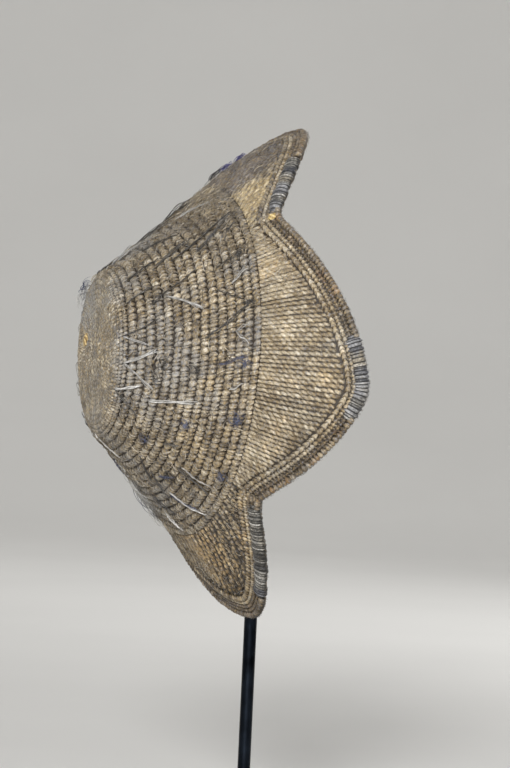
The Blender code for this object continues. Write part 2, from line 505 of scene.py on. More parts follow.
def put(made: bpy.types.Node, **given: object) -> None:
    """Set a node's properties, sockets and colour stops, and link sockets into it.

    Args:
        made: the node.
        given: values or output sockets by property or socket identifier, with a low line for
            each space; a colour is an sRGB hex value, and stops are places and colours.
    """
    for key, value in given.items():
        if key == "stops":
            stops, elements = list(value), made.color_ramp.elements
            for _ in stops[2:]:
                elements.new(0.5)
            for element, (spot, hexa) in zip(elements, stops):
                element.position, element.color = spot, linear(hexa)
        elif key in made.bl_rna.properties:
            setattr(made, key, value)
        else:
            socket = next(s for s in made.inputs if s.identifier.replace(" ", "_") == key)
            if isinstance(value, bpy.types.NodeSocket):
                made.id_data.links.new(value, socket)
            else:
                socket.default_value = linear(value) if isinstance(value, str) else value


def node(tree: bpy.types.NodeTree, kind: str, take: str = "",
         **given: object) -> bpy.types.NodeSocket:
    """Add a node with its settings and links.

    Args:
        tree: the material's node tree.
        kind: the node's type without its ShaderNode prefix.
        take: identifier of the output wanted, or nothing for the first.
        given: its settings and links, as put takes them.

    Returns:
        The output socket.
    """
    made = tree.nodes.new("ShaderNode" + kind)
    put(made, **given)
    return next(s for s in made.outputs if take in ("", s.identifier))


def new_material(name: str) -> tuple[bpy.types.Material, bpy.types.Node, Callable]:
    """A material, its Principled shader, and the node function for its tree."""
    material = bpy.data.materials.new(name)
    material.use_nodes = True
    tree = material.node_tree
    return material, tree.nodes["Principled BSDF"], partial(node, tree)


@dataclass(frozen=True)
class Raffia:
    """Dry raffia palm fibre: matt straw with a faint waxy gloss along each fibre.

    The eye sees pale tops, warm golden strands, dusty grey patches, and dark brown where
    light can't reach between the strands: the pale tops are partly worn straw and partly painted
    highlight, and the dark brown is painted shade, from the tone and groove that each piece gives.
    Real fibres are 0.15 to 0.3 mm wide, and they are drawn 0.45 mm wide so that they show. The
    straw, dust and gold colours run from dark to pale.
    """

    name: str
    # gap is the colour of the painted shade deep between strands
    gap: str
    straw: str
    dust: str
    dust_share: float = 0.35
    gold: str = "#5a4426 #c9a86c"
    gold_share: float = 0.3
    places: tuple[float, ...] = ()
    roughness: float = 0.5
    fibre_mm: float = 0.45
    fibre_long: float = 7.0
    patch_mm: float = 9.0
    broad_patches: float = 2.6
    bump_mm: float = 0.3
    sheen: float = 0.1
    speck_mm: float = 0.6
    fleck_mm: float = 0.9
    fleck_warm: str = "#a08757"
    fleck_cool: str = "#80828a"
    fleck_share: float = 0.5

    def build(self) -> bpy.types.Material:
        """Make the material, which reads the piece's grain, tone, groove and age."""
        material, shader, add = new_material(self.name)
        grain = add("Attribute", "Vector", attribute_name="grain")
        tone, groove, age = (add("Attribute", "Fac", attribute_name=name)
                             for name in ("tone", "groove", "age"))
        spot = add("TexCoord", "Object")
        fine = 1 / self.fibre_mm
        stretched = add("Mapping", Scale=(fine / self.fibre_long, fine, fine), Vector=grain)
        fibre = add("TexNoise", Scale=1.0, Detail=4.0, Roughness=0.65, Vector=stretched)
        patch = add("TexNoise", Scale=1000 / self.patch_mm, Detail=4.0, Roughness=0.65,
                    Vector=spot)
        broad = add("TexNoise", Scale=1000 / (self.patch_mm * self.broad_patches), Detail=2.0,
                    Distortion=0.6, Vector=spot)
        speck = add("TexNoise", Scale=1000 / self.speck_mm, Detail=1.0, Vector=spot)
        fleck = add("TexNoise", Scale=1000 / self.fleck_mm, Detail=2.0, Vector=spot)
        level = patch
        for part, share in ((fibre, 1.3), (tone, 0.5), (speck, 0.8)):
            level = add("Math", operation="MULTIPLY_ADD", Value=part, Value_001=share,
                        Value_002=level)
        level = add("MapRange", From_Min=1.4, From_Max=2.25, Value=level)
        straw = self.straw.split()
        colour = add("ValToRGB", Fac=level,
                     stops=zip(self.places or np.linspace(0, 1, len(straw)), straw))
        for ageing, where, low, high, most, tints in (
                (0.22, broad, 0.50, 0.68, self.dust_share, self.dust),
                (-0.18, patch, 0.55, 0.72, self.gold_share, self.gold)):
            where = add("Math", operation="MULTIPLY_ADD", Value=age, Value_001=ageing,
                        Value_002=where)
            share = add("MapRange", From_Min=low, From_Max=high, To_Max=most, Value=where)
            tint = add("ValToRGB", Fac=level, stops=zip((0.0, 1.0), tints.split()))
            colour = add("Mix", "Result_Color", data_type="RGBA", Factor_Float=share,
                         A_Color=colour, B_Color=tint)
        for hexa, low, high in ((self.fleck_warm, 0.55, 0.68), (self.fleck_cool, 0.45, 0.32)):
            share = add("MapRange", From_Min=low, From_Max=high, To_Max=self.fleck_share,
                        Value=fleck)
            colour = add("Mix", "Result_Color", data_type="RGBA", Factor_Float=share,
                         A_Color=colour, B_Color=hexa)
        # Painted shade: the gap colour is mixed in where the piece's groove value is low
        open_share = add("MapRange", From_Min=0.06, From_Max=0.8, Value=groove,
                         interpolation_type="SMOOTHSTEP")
        colour = add("Mix", "Result_Color", data_type="RGBA", Factor_Float=open_share,
                     A_Color=self.gap, B_Color=colour)
        gloss = add("MapRange", To_Min=self.roughness + 0.12, To_Max=self.roughness - 0.14,
                    Value=fibre)
        bump = add("Bump", Strength=0.9, Distance=self.bump_mm * MM, Height=fibre)
        put(shader, Base_Color=colour, Roughness=gloss, Normal=bump, IOR=1.5,
            Sheen_Weight=self.sheen, Sheen_Roughness=0.4)
        return material


@dataclass(frozen=True)
class DarkSteel:
    """Cold-drawn steel rod, blackened: dark, smooth along its length, with one long glint.

    Drawing leaves hair lines that run along the rod, drawn 0.25 mm apart so that they show.
    """

    name: str = "blackened_drawn_steel"
    dark: str = "#0b0d10"
    light: str = "#252b34"
    line_mm: float = 0.25
    streak_mm: float = 14.0

    def build(self) -> bpy.types.Material:
        """Make the material."""
        material, shader, add = new_material(self.name)
        spot = add("TexCoord", "Object")
        fine = 1 / (self.line_mm * MM)
        drawn = add("Mapping", Scale=(fine, fine, 1 / (self.streak_mm * MM)), Vector=spot)
        lines = add("TexNoise", Scale=1.0, Detail=2.0, Vector=drawn)
        stain = add("TexNoise", Scale=90.0, Detail=4.0, Vector=spot)
        colour = add("ValToRGB", Fac=stain, stops=((0.35, self.dark), (0.68, self.light)))
        gloss = add("MapRange", To_Min=0.24, To_Max=0.42, Value=stain)
        bump = add("Bump", Strength=0.25, Distance=0.02 * MM, Height=lines)
        put(shader, Base_Color=colour, Roughness=gloss, Normal=bump, Metallic=1.0)
        return material


@dataclass(frozen=True)
class PowderCoat:
    """Black powder coat on steel plate: satin, with an orange-peel skin about 0.8 mm wide."""

    name: str = "black_powder_coat"
    dark: str = "#141415"
    light: str = "#262628"
    peel_mm: float = 0.8

    def build(self) -> bpy.types.Material:
        """Make the material."""
        material, shader, add = new_material(self.name)
        spot = add("TexCoord", "Object")
        peel = add("TexNoise", Scale=1000 / self.peel_mm, Detail=2.0, Vector=spot)
        rub = add("TexNoise", Scale=35.0, Detail=5.0, Vector=spot)
        colour = add("ValToRGB", Fac=rub, stops=((0.3, self.dark), (0.75, self.light)))
        gloss = add("MapRange", To_Min=0.38, To_Max=0.55, Value=rub)
        bump = add("Bump", Strength=0.35, Distance=0.04 * MM, Height=peel)
        put(shader, Base_Color=colour, Roughness=gloss, Normal=bump)
        return material


@dataclass(frozen=True)
class Felt:
    """Pressed wool felt over the head: dead matt grey with a soft nap about 0.35 mm wide."""

    name: str = "grey_wool_felt"
    dark: str = "#3a3a3c"
    light: str = "#5b5b5e"
    nap_mm: float = 0.35

    def build(self) -> bpy.types.Material:
        """Make the material."""
        material, shader, add = new_material(self.name)
        spot = add("TexCoord", "Object")
        nap = add("TexNoise", Scale=1000 / self.nap_mm, Detail=4.0, Distortion=1.2, Vector=spot)
        cloud = add("TexNoise", Scale=120.0, Detail=3.0, Vector=spot)
        both = add("Math", operation="MULTIPLY_ADD", Value=nap, Value_001=0.5, Value_002=cloud)
        colour = add("ValToRGB", Fac=both, stops=((0.45, self.dark), (1.05, self.light)))
        bump = add("Bump", Strength=0.8, Distance=0.12 * MM, Height=nap)
        put(shader, Base_Color=colour, Normal=bump, Roughness=0.95, Sheen_Weight=0.35)
        return material


class Fibre(Enum):
    """The raffia and thread finishes of the cap, by where each is used."""

    COIL = Raffia("coiled_raffia_dusty", "#180d03", "#32281a #5c503e #81745f #a59881 #dcd3c1",
                  "#3a3835 #aba9a5", 0.6, "#4f3e25 #c7ab77", 0.35, patch_mm=6.0,
                  fleck_share=0.55)
    TOP = Raffia("coiled_raffia_top", "#5a5041", "#30271a #6c604c #988c77 #dcd2be",
                 "#47443f #b0ada7", 0.75, "#755e38 #d0b680", 0.45, (0.0, 0.35, 0.7, 1.0),
                 patch_mm=6.0, fleck_share=0.6, fleck_mm=1.2)
    CORD = Raffia("twisted_raffia_cord", "#3c2e1b", "#655640 #8b7c63 #a99b82 #c0b49d #e2d9c6",
                  "#6e6a60 #bfbbb1", 0.5, "#7d6036 #dcbb80", 0.4)
    CORD_UPPER = Raffia("twisted_raffia_cord_dusty", "#2a2014",
                        "#453b2d #6a5e4b #897d69 #a99d87 #d8cdb8", "#2b2521 #857b71", 0.95,
                        "#7c6539 #e6d2a8", 0.8)
    CORD_LOWER = Raffia("twisted_raffia_cord_brown", "#1a1106",
                        "#473922 #74644b #958469 #b3a488 #ddd2bb", "#3f3526 #938773", 0.6,
                        "#6c5126 #d2b17a", 0.65)
    EDGE = Raffia("whipped_raffia_edge", "#1a1208", "#33281b #5b4e3c #7d705d #b0a38e",
                  "#3c3832 #8b857b", gold="#4c2e17 #98703f", gold_share=0.55,
                  places=(0.0, 0.35, 0.7, 1.0))
    BLUE_WRAP = Raffia("blue_grey_thread_wrap", "#120f0b",
                       "#1d1a17 #48453f #76736c #a5a29b #e2dfd9", "#292d3b #7b808f", 0.5,
                       "#463c2d #a09277", 0.6, fibre_mm=0.3, fleck_warm="#6f6658",
                       fleck_cool="#53555c", fleck_share=0.35)
    # The dark sheets between the rows and the cords: painted shade where no light gets through the
    # gaps
    CORE = Raffia("shaded_raffia_core", "#2c2114", "#1a130b #2e2416", "#17120c #2a2319",
                  gold="#1c140a #33271a", fleck_share=0.1)
    PALE_THREAD = Raffia("pale_grey_raffia_thread", "#5a5650", "#8a8782 #b8b5b0 #eeece8",
                         "#7c8087 #c4c7cc", gold_share=0.0, fleck_share=0.1)
    DARK_THREAD = Raffia("dark_dyed_raffia_thread", "#15130f", "#1d1a16 #3d3933 #7d7a75",
                         "#262932 #696c78", gold_share=0.0, places=(0.0, 0.6, 1.0),
                         fleck_share=0.1)
    BLUE_THREAD = Raffia("blue_dyed_raffia_thread", "#1b1e2c", "#23283f #434a66 #7c839c",
                         "#393e52 #757a90", gold_share=0.0, fleck_share=0.1)
    VIOLET_THREAD = Raffia("violet_dyed_raffia_thread", "#1c1a3a", "#2c2858 #4a4686 #7f7cb4",
                           "#403e66 #7e7ba0", gold_share=0.0, fleck_share=0.1)
    GOLD_KNOT = Raffia("golden_raffia_knot", "#5c3f18", "#a08550 #cdb272 #f4e8c0",
                       "#a0814e #d8bd88", gold="#ab8841 #e4c884", fleck_share=0.25)


@dataclass
class Wardrobe:
    """The materials, each made once."""

    made: dict[str, bpy.types.Material] = field(default_factory=dict)

    def dress(self, piece: bpy.types.Object, finish: object, slot: str,
              *replaced: str) -> bpy.types.Object:
        """Give a piece its finish and its body, and hide the CAD nodes that it stands for.

        Args:
            piece: the object.
            finish: a Fibre, or a finish with a build method.
            slot: not used.
            replaced: the CAD nodes that it stands for.

        Returns:
            The piece.
        """
        maker = finish.value if isinstance(finish, Fibre) else finish
        if maker.name not in self.made:
            self.made[maker.name] = maker.build()
        piece.data.materials.clear()
        piece.data.materials.append(self.made[maker.name])
        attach(piece, "root")
        if replaced:
            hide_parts(*replaced)
        LOG.info("%s: %d points", piece.name, len(piece.data.vertices))
        return piece


# The crown

def powered(value: Array, power: float) -> Array:
    """A value raised to a power with its sign kept."""
    return np.sign(value) * np.abs(value) ** power


@dataclass
class Wraps:
    """Strands wrapped side by side round a bundle, each a bead with its own size and tone."""

    seed: str
    count: int
    groove: float
    size_spread: float = 0.05
    tone_spread: float = 0.24

    def __post_init__(self) -> None:
        """Draw the beads' sizes and tones."""
        rng = draws(self.seed)
        self.tones = np.clip(rng.normal(0.5, self.tone_spread, self.count), 0, 1)
        self.sizes = 1 + rng.normal(0, self.size_spread, self.count)
        self.lifts = rng.normal(0, 1, self.count)

    def at(self, share: Array) -> tuple[Array, Array, Array, Array]:
        """The beads at shares of the bundle's length.

        Args:
            share: from 0 to 1.

        Returns:
            The radius as a share, the swell from 0 in a groove to 1 on a bead, the bead's tone,
            and its lift.
        """
        phase = share * self.count
        swell = np.abs(np.sin(pi * phase)) ** 0.5
        which = np.floor(phase + 1e-6).astype(int) % self.count
        size = (1 - self.groove * (1 - swell)) * (1 + (self.sizes[which] - 1) * swell)
        return size, swell, self.tones[which], self.lifts[which] * swell


@dataclass
class CoilRow:
    """One row of the coiled crown: a raffia bundle wrapped with strands that look like beads."""

    name: str
    length: float
    radius: float
    swell: float
    wrap_width: float
    groove: float = 0.2
    notch: float = 0.36
    sides: int = 12
    wrap_steps: int = 5
    waver: float = 0.26
    lean: float = 0.2
    bead_lift: float = 0.16
    tone_spread: float = 0.15
    fullness: tuple[float, float] = (0.9, 0.85)
    crest_groove: float = 0.5
    unevenness: float = 0.6
    dark: float = 0.03
    gap_power: float = 1.4
    painted_light: float = 0.55
    stains: tuple[Stain, ...] = ()

    def build(self) -> bpy.types.Object:
        """Lay the row round the crown."""
        round_length = 2 * pi * CAP.radius_at(self.length)
        if self.length < CAP.flat:
            round_length = 2 * pi * self.length
        count = max(int(round(round_length / self.wrap_width)), 6)
        wraps = Wraps(self.name, count, self.groove, tone_spread=self.tone_spread)

        def place(number: Array, s: Array, t: Array) -> Laid:
            theta = 2 * pi * s
            size, swell, tone, lift = wraps.at(t)
            shallow = self.crest_groove * self.groove * (1 - swell)
            size = size + shallow * np.clip(np.cos(theta), 0, 1)
            uneven = self.unevenness * wave(t, count // 9, count // 4, self.name + "uneven")
            turn = 2 * pi * (t + (self.lean * np.sin(theta) + uneven) / count)
            up = self.radius * (size * powered(np.cos(theta), self.fullness[0]) - 1)
            up = up + self.bead_lift * lift
            slip = self.swell * powered(np.sin(theta), self.fullness[1])
            slip = slip * (1 - self.notch * (1 - swell ** NOTCH_POWER))
            slip = slip + self.waver * wave(t, 3, 16, self.name + "slip")
            up = up + 0.5 * self.waver * wave(t, 3, 14, self.name)
            spot = CAP.crown(self.length, turn, up, slip)
            # Painted shade: darker down the row's sides and in the notches between beads
            crest = np.clip(0.42 * swell - 0.06 + np.abs(np.cos(theta)), 0, 1)
            beside = np.abs(np.sin(theta))
            gap = (0.1 + 0.9 * beside) * (1 - swell ** self.gap_power)
            shade = (self.dark + (1 - self.dark) * crest) * (1 - gap)
            grain = joined(self.radius * theta, t * round_length, GRAIN_JUMP * tone)
            age = aged(self.stains, np.degrees(turn), self.length, round_length / 360, 360)
            # Painted light: the tone is raised on bead crests and lowered at their sides
            tone = tone + self.painted_light * (crest ** 2 * swell - 0.5)
            return Laid(spot, grain, tone, shade, age)

        return lay(self.name, self.sides, [count * self.wrap_steps], place)


@dataclass(frozen=True)
class LooseThread:
    """One loose strand laid slantwise over the coil rows, in degrees and millimetres."""

    turn_from: float
    down_from: float
    turn_to: float
    down_to: float
    strands: int = 3


# The values of the loose threads that the picture shows, by finish
THREADS = {
    Fibre.PALE_THREAD: (
        (-26.7, 1, -18.3, 11, 5), (-6.7, 3.5, -19.2, 16.5, 5), (-6.7, 3.5, 3.3, 16, 9),
        (10.8, 3, 5, 13, 4), (-25, 15, -17.5, 34, 7), (31.7, 20, 20.8, 34, 5),
        (-10, 45.5, -6.7, 51.5), (10.8, 46.5, 13.3, 51.5), (10.8, 46.5, 6.7, 51.5),
        (28.3, 45.5, 33.3, 52.5), (-68.5, 37, -61.5, 53.8, 4), (-86, 43.6, -83, 53.5),
        (-60, 53.5, -49, 54), (-49.5, 35.5, -48.5, 49.2)),
    Fibre.DARK_THREAD: (
        (-26.7, 1, -37.5, 12.5), (10.8, 3, 20, 17), (34.2, 4.5, 40.8, 16), (31.7, 16.5, 40, 33),
        (51.7, 6, 58.3, 20), (52.5, 17, 60.8, 33), (-44, 25, -40, 32), (-51.7, 34, -50.8, 50),
        (49, 34, 60.8, 53.5), (8.3, 34, 20, 51.5), (28.3, 39, 21.7, 50), (36.7, 40, 40.8, 51.5),
        (50.8, 47, 54.2, 52.5), (-66.5, 26, -72.5, 39.5), (-62.5, 19.2, -72, 29.2),
        (51.5, 24.2, 61, 53.2, 4)),
    Fibre.BLUE_THREAD: ((-65, 30, -57.5, 35), (-70, 38, -63, 50), (-1.7, 40, 2.5, 51.5)),
}


@dataclass
class Crown:
    """The coiled crown: the fine coils of the flat top, the ridged rows and the loose threads."""

    wardrobe: Wardrobe
    rows: int = 15
    row_swell: float = 1.8
    row_radius: float = 1.75
    wrap_width: float = 1.95
    top_rows: int = 17
    top_first: float = 2.0
    top_radius: float = 0.7
    top_wrap: float = 1.3
    core_lift: float = -1.75
    core_thick: float = 0.8
    stains: tuple[Stain, ...] = patches(
        (110, 25, 6, 1.3), (145, 26, 7, 0.9), (60, 30, 8, 0.5), (0, 8, 12, -0.5),
        (-60, 22, 9, -0.4), (200, 20, 10, 0.4), (8, 36, 13, 1.0), (-2, 47, 11, 0.9),
        (-30, 40, 10, 0.5), (-70, 60, 13, 0.7), (-20, 61, 8, 0.4), (10, 82, 8, 0.7),
        (36, 80, 8, 0.5), (74, 72, 12, 0.4), (90, 50, 14, 0.6), (-100, 68, 14, 0.9),
        (-44, 60, 13, -0.7), (-38, 74, 11, -0.9), (-25, 79, 8, -0.6), (62, 58, 16, -0.4),
        (33, 68, 8, -0.5), (21, 62, 3, -1.6), (22, 74, 4, -0.9), (-10, 66, 3, -1.2),
        (140, 60, 16, 0.6), (175, 45, 14, -0.6), (205, 72, 14, 0.5), (235, 50, 12, -0.5))
    knot_length: float = 14.5
    knot_turn: float = radians(161)
    strand_radius: float = 0.13
    strand_thick: float = 1.2
    hidden_turns: tuple[float, float, float] = (76, 284, 9.5)
    hidden_bands: tuple[float, ...] = (2.0, 17.0, 34.0)

    def build(self) -> None:
        """Make every piece of the crown."""
        self.build_core()
        self.build_rows()
        self.build_top()
        self.build_knot()
        self.build_threads()

    def build_core(self) -> None:
        """A thin dark wall between the rows, which closes the gaps that no light gets through."""

        def place(number: Array, s: Array, t: Array) -> Laid:
            spot = CAP.crown(0.01 + t * (CAP.total - 1.0), 2 * pi * s, self.core_lift)
            return Laid(spot, spot, CORE_TONE, CORE_SHADE)

        core = lay("crown_core", 96, [48], place)
        self.wardrobe.dress(thicken(core, self.core_thick), Fibre.CORE, "coil_straw")

    def build_rows(self) -> None:
        """The ridged rows down the side."""
        first = CAP.flat + CAP.bend
        pitch = (CAP.total - first) / self.rows
        for index in range(self.rows):
            row = CoilRow(f"coil_row_{index + 1:02d}", first + pitch * (index + 0.5),
                          self.row_radius, self.row_swell, self.wrap_width,
                          stains=self.stains)
            replaced = ("crown",) if index == 0 else ()
            self.wardrobe.dress(row.build(), Fibre.COIL, "coil_straw", *replaced)

    def build_top(self) -> None:
        """The fine coils of the flat top and its shoulder."""
        last = CAP.flat + CAP.bend
        pitch = (last - self.top_first) / self.top_rows
        for index in range(self.top_rows):
            share = max(index - self.top_rows + 5, 0) / 4
            row = CoilRow(f"top_row_{index + 1:02d}", self.top_first + pitch * (index + 0.5),
                          self.top_radius + 0.55 * share, pitch * (0.62 - 0.08 * share),
                          self.top_wrap + 0.1 * share, groove=0.1 + 0.16 * share,
                          notch=0.1 + 0.3 * share, sides=8, wrap_steps=4,
                          waver=0.16 - 0.06 * share, bead_lift=0.06, tone_spread=0.16,
                          stains=self.stains)
            finish = Fibre.COIL if share >= 0.5 else Fibre.TOP
            self.wardrobe.dress(row.build(), finish, "coil_straw")

    def build_knot(self) -> None:
        """The golden knot on the top, and the button that closes the first coil."""
        for name, length, turn, half, rise, ridges, fibre, slot, replaced in (
                ("crown_knot_strand", self.knot_length, self.knot_turn, (1.25, 2.6, 1.0), 0.25,
                 0.09, Fibre.GOLD_KNOT, "knot_straw", ("crown_knot",)),
                ("top_button", 0.02, 0.0, (2.9, 2.9, 0.5), -0.3, 0.02, Fibre.TOP, "coil_straw",
                 ())):

            def place(number: Array, s: Array, t: Array) -> Laid:
                theta, fall = 2 * pi * s, pi * t
                twist = 1 + ridges * np.cos(5 * theta + 4 * fall)
                out = half[0] * np.sin(fall) * np.cos(theta) * twist
                across = half[1] * np.sin(fall) * np.sin(theta) * twist
                lift = half[2] * np.cos(fall) + rise
                x = length * cos(turn) + out * cos(turn) - across * sin(turn)
                y = length * sin(turn) + out * sin(turn) + across * cos(turn)
                spot = CAP.crown(np.hypot(x, y), np.arctan2(y, x), lift)
                # Painted light: the tone is lighter on the twist's ridges and darker in its
                # hollows, and the groove value paints shade in the hollows
                tone = 0.5 + 0.4 * np.cos(5 * theta + 4 * fall)
                return Laid(spot, spot, tone, np.clip(0.55 + 5 * (twist - 1), 0, 1))

            self.wardrobe.dress(lay(name, 24, [14], place), fibre, slot, *replaced)

    def build_threads(self) -> None:
        """The loose strands over the rows, by colour, with plain ones round the hidden side."""
        rng = draws("loose threads")
        strands = {fibre: [LooseThread(*row) for row in rows] for fibre, rows in THREADS.items()}
        kinds = (Fibre.PALE_THREAD, Fibre.DARK_THREAD, Fibre.DARK_THREAD, Fibre.BLUE_THREAD)
        for turn in np.arange(*self.hidden_turns):
            band = rng.choice(self.hidden_bands)
            swing = rng.choice([-1, 1]) * rng.uniform(6, 11)
            start, end = turn + rng.normal(0, 2), band + rng.uniform(11, 17)
            kind = kinds[rng.integers(len(kinds))]
            strands[kind].append(LooseThread(start, band, start + swing, end))
        first = CAP.flat + CAP.bend - CAP.corner_cut
        for fibre, threads in strands.items():
            mine = [one for one in threads for _ in range(one.strands)]
            count = len(mine)
            ends = np.array([(radians(o.turn_from), first + o.down_from, radians(o.turn_to),
                              first + o.down_to) for o in mine])
            ends += rng.normal(0, 1, (count, 4)) * (0.004, 0.2, 0.006, 0.5)
            bow, size, phase, rise, hook = rng.random((5, count))

            def place(number: Array, s: Array, t: Array) -> Laid:
                turn0, down0, turn1, down1 = ends[number].T
                theta, arch = 2 * pi * s, np.sin(pi * t)
                down = np.clip(down0 + (down1 - down0) * t, 4, CAP.total - 0.8)
                turn = turn0 + (turn1 - turn0) * t
                turn = turn + 0.012 * (bow[number] - 0.5) * arch
                turn = turn + 0.006 * np.sin(9 * t + 6 * phase[number])
                turn = turn + 0.025 * (hook[number] - 0.5) * np.clip(t - 0.8, 0, 1) * 5
                width = self.strand_radius * (0.6 + 0.8 * size[number]) * self.strand_thick
                width = width * np.clip(8 * np.minimum(t, 1 - t), 0, 1) ** 0.5
                ride = 0.3 + (0.2 + 0.8 * rise[number]) * arch ** 0.5
                ride = ride + 0.1 * np.sin(2 * pi * (5 * t + phase[number]))
                radius = 30 + SIDE_GAIN * (down - first)
                spot = CAP.crown(down, turn + width * np.cos(theta) / radius,
                                 ride + width * np.sin(theta))
                grain = joined(t * 15, np.cos(theta), np.sin(theta) + 9 * phase[number])
                return Laid(spot, grain, size[number], 1.0)

            name = fibre.value.name.replace("_raffia_thread", "_threads")
            self.wardrobe.dress(lay(name, 5, [24] * count, place), fibre, "coil_straw")


# The four points

@dataclass
class WhippedEdge:
    """A round cord whipped with strands, turn beside turn, along part of an edge line."""

    name: str
    line: EdgeLine
    start: float
    end: float
    across: float
    height: float
    lift: float
    wrap_width: float
    groove: float = 0.26
    notch: float = 0.2
    sides: int = 12
    wrap_steps: int = 4
    lean: float = 0.5
    spread: float = 0.05
    end_swell: float = 0.5
    patchy: float = 0.0
    # how much the whipping's tone is lowered, which darkens it
    tone_drop: float = 0.0
    valley: float = 0.35
    bead_lift: float = 0.06
    unevenness: float = 0.5
    dark: float = 0.04
    gap_power: float = 1.3
    painted_light: float = 0.4
    stains: tuple[Stain, ...] = ()

    def build(self) -> bpy.types.Object:
        """Lay the whipping between its two marks."""
        span = self.end - self.start
        count = max(int(round(span / self.wrap_width)), 3)
        wraps = Wraps(self.name, count, self.groove, self.spread, 0.28)

        def place(number: Array, s: Array, t: Array) -> Laid:
            theta = 2 * pi * s
            size, swell, tone, raised = wraps.at(t)
            uneven = wave(t, max(count // 9, 1), count // 4 + 1, self.name + "uneven")
            inner = np.clip(np.minimum(t, 1 - t) * count / 1.5, 0, 1)
            shift = self.lean * np.sin(theta) + self.unevenness * uneven
            shift = shift * self.wrap_width * inner
            mark = self.start + t * span + shift
            size = size * np.clip(np.minimum(t, 1 - t) * span / self.end_swell, 0, 1) ** 0.4
            side = size * (1 - self.notch * (1 - swell ** NOTCH_POWER))
            out = self.across * side * np.cos(theta)
            lift = self.lift + self.height * size * np.sin(theta) + self.bead_lift * raised
            grain = joined(self.across * theta, mark, GRAIN_JUMP * tone)
            # Painted shade: darker down the cord's sides and in the notches between wraps; the
            # valley sets how dark a notch is on the crest
            crest = np.clip(0.25 + np.abs(np.sin(theta)), 0, 1)
            beside = np.abs(np.cos(theta))
            gap = (self.valley + (1 - self.valley) * beside) * (1 - swell ** self.gap_power)
            shade = (self.dark + (1 - self.dark) * crest) * (1 - gap)
            # Painted light: the tone is raised on wrap tops and lowered at their sides, and the
            # last term lowers it all, darkening the whole cord
            tone = tone + self.painted_light * (swell * crest ** 2 - 0.5) - self.tone_drop
            age = self.patchy * wave(t, int(span / 9) + 1, int(span / 4) + 1, self.name + "age")
            age = age + aged(self.stains, mark, 0.0, 1.0)
            return Laid(self.line.place(mark, out, lift), grain, tone, shade, age)

        return lay(self.name, self.sides, [count * self.wrap_steps], place)


@dataclass(frozen=True)
class WrapZone:
    """A stretch of a point's edge that is wrapped with blue-grey thread, in side values.

    Its stains turn it blue where their age is above zero and tan below.
    """

    start: float
    end: float
    stains: tuple[Stain, ...] = ()


@dataclass(frozen=True)
class PointLook:
    """How one point's raffia is twisted and whipped.

    Its insets run from the outer edge inwards: the whipping, the ridges, the edging cord and
    the line where the cords stop. A twist of 1 is one hand of rope and -1 the other. Its plies
    swell once in every bulge, in millimetres, and loose fibres blur them in felted patches.
    Their tone darkens towards the edge, the edge cords' tone is lowered, and the edge cords run
    past each notch.
    """

    fibre: Fibre
    cords: int
    lay: float
    bulge: float
    twist: int
    ply_depth: float
    ply_shade: float
    insets: tuple[float, ...]
    ridge_radius: float
    ridge_wrap: float
    edging_radius: float
    edging_wrap: float
    tone_drop: float
    fade: float
    past: float = 0.0
    stains: tuple[Stain, ...] = ()
    felted: tuple[Stain, ...] = ()
    zones: tuple[WrapZone, ...] = ()


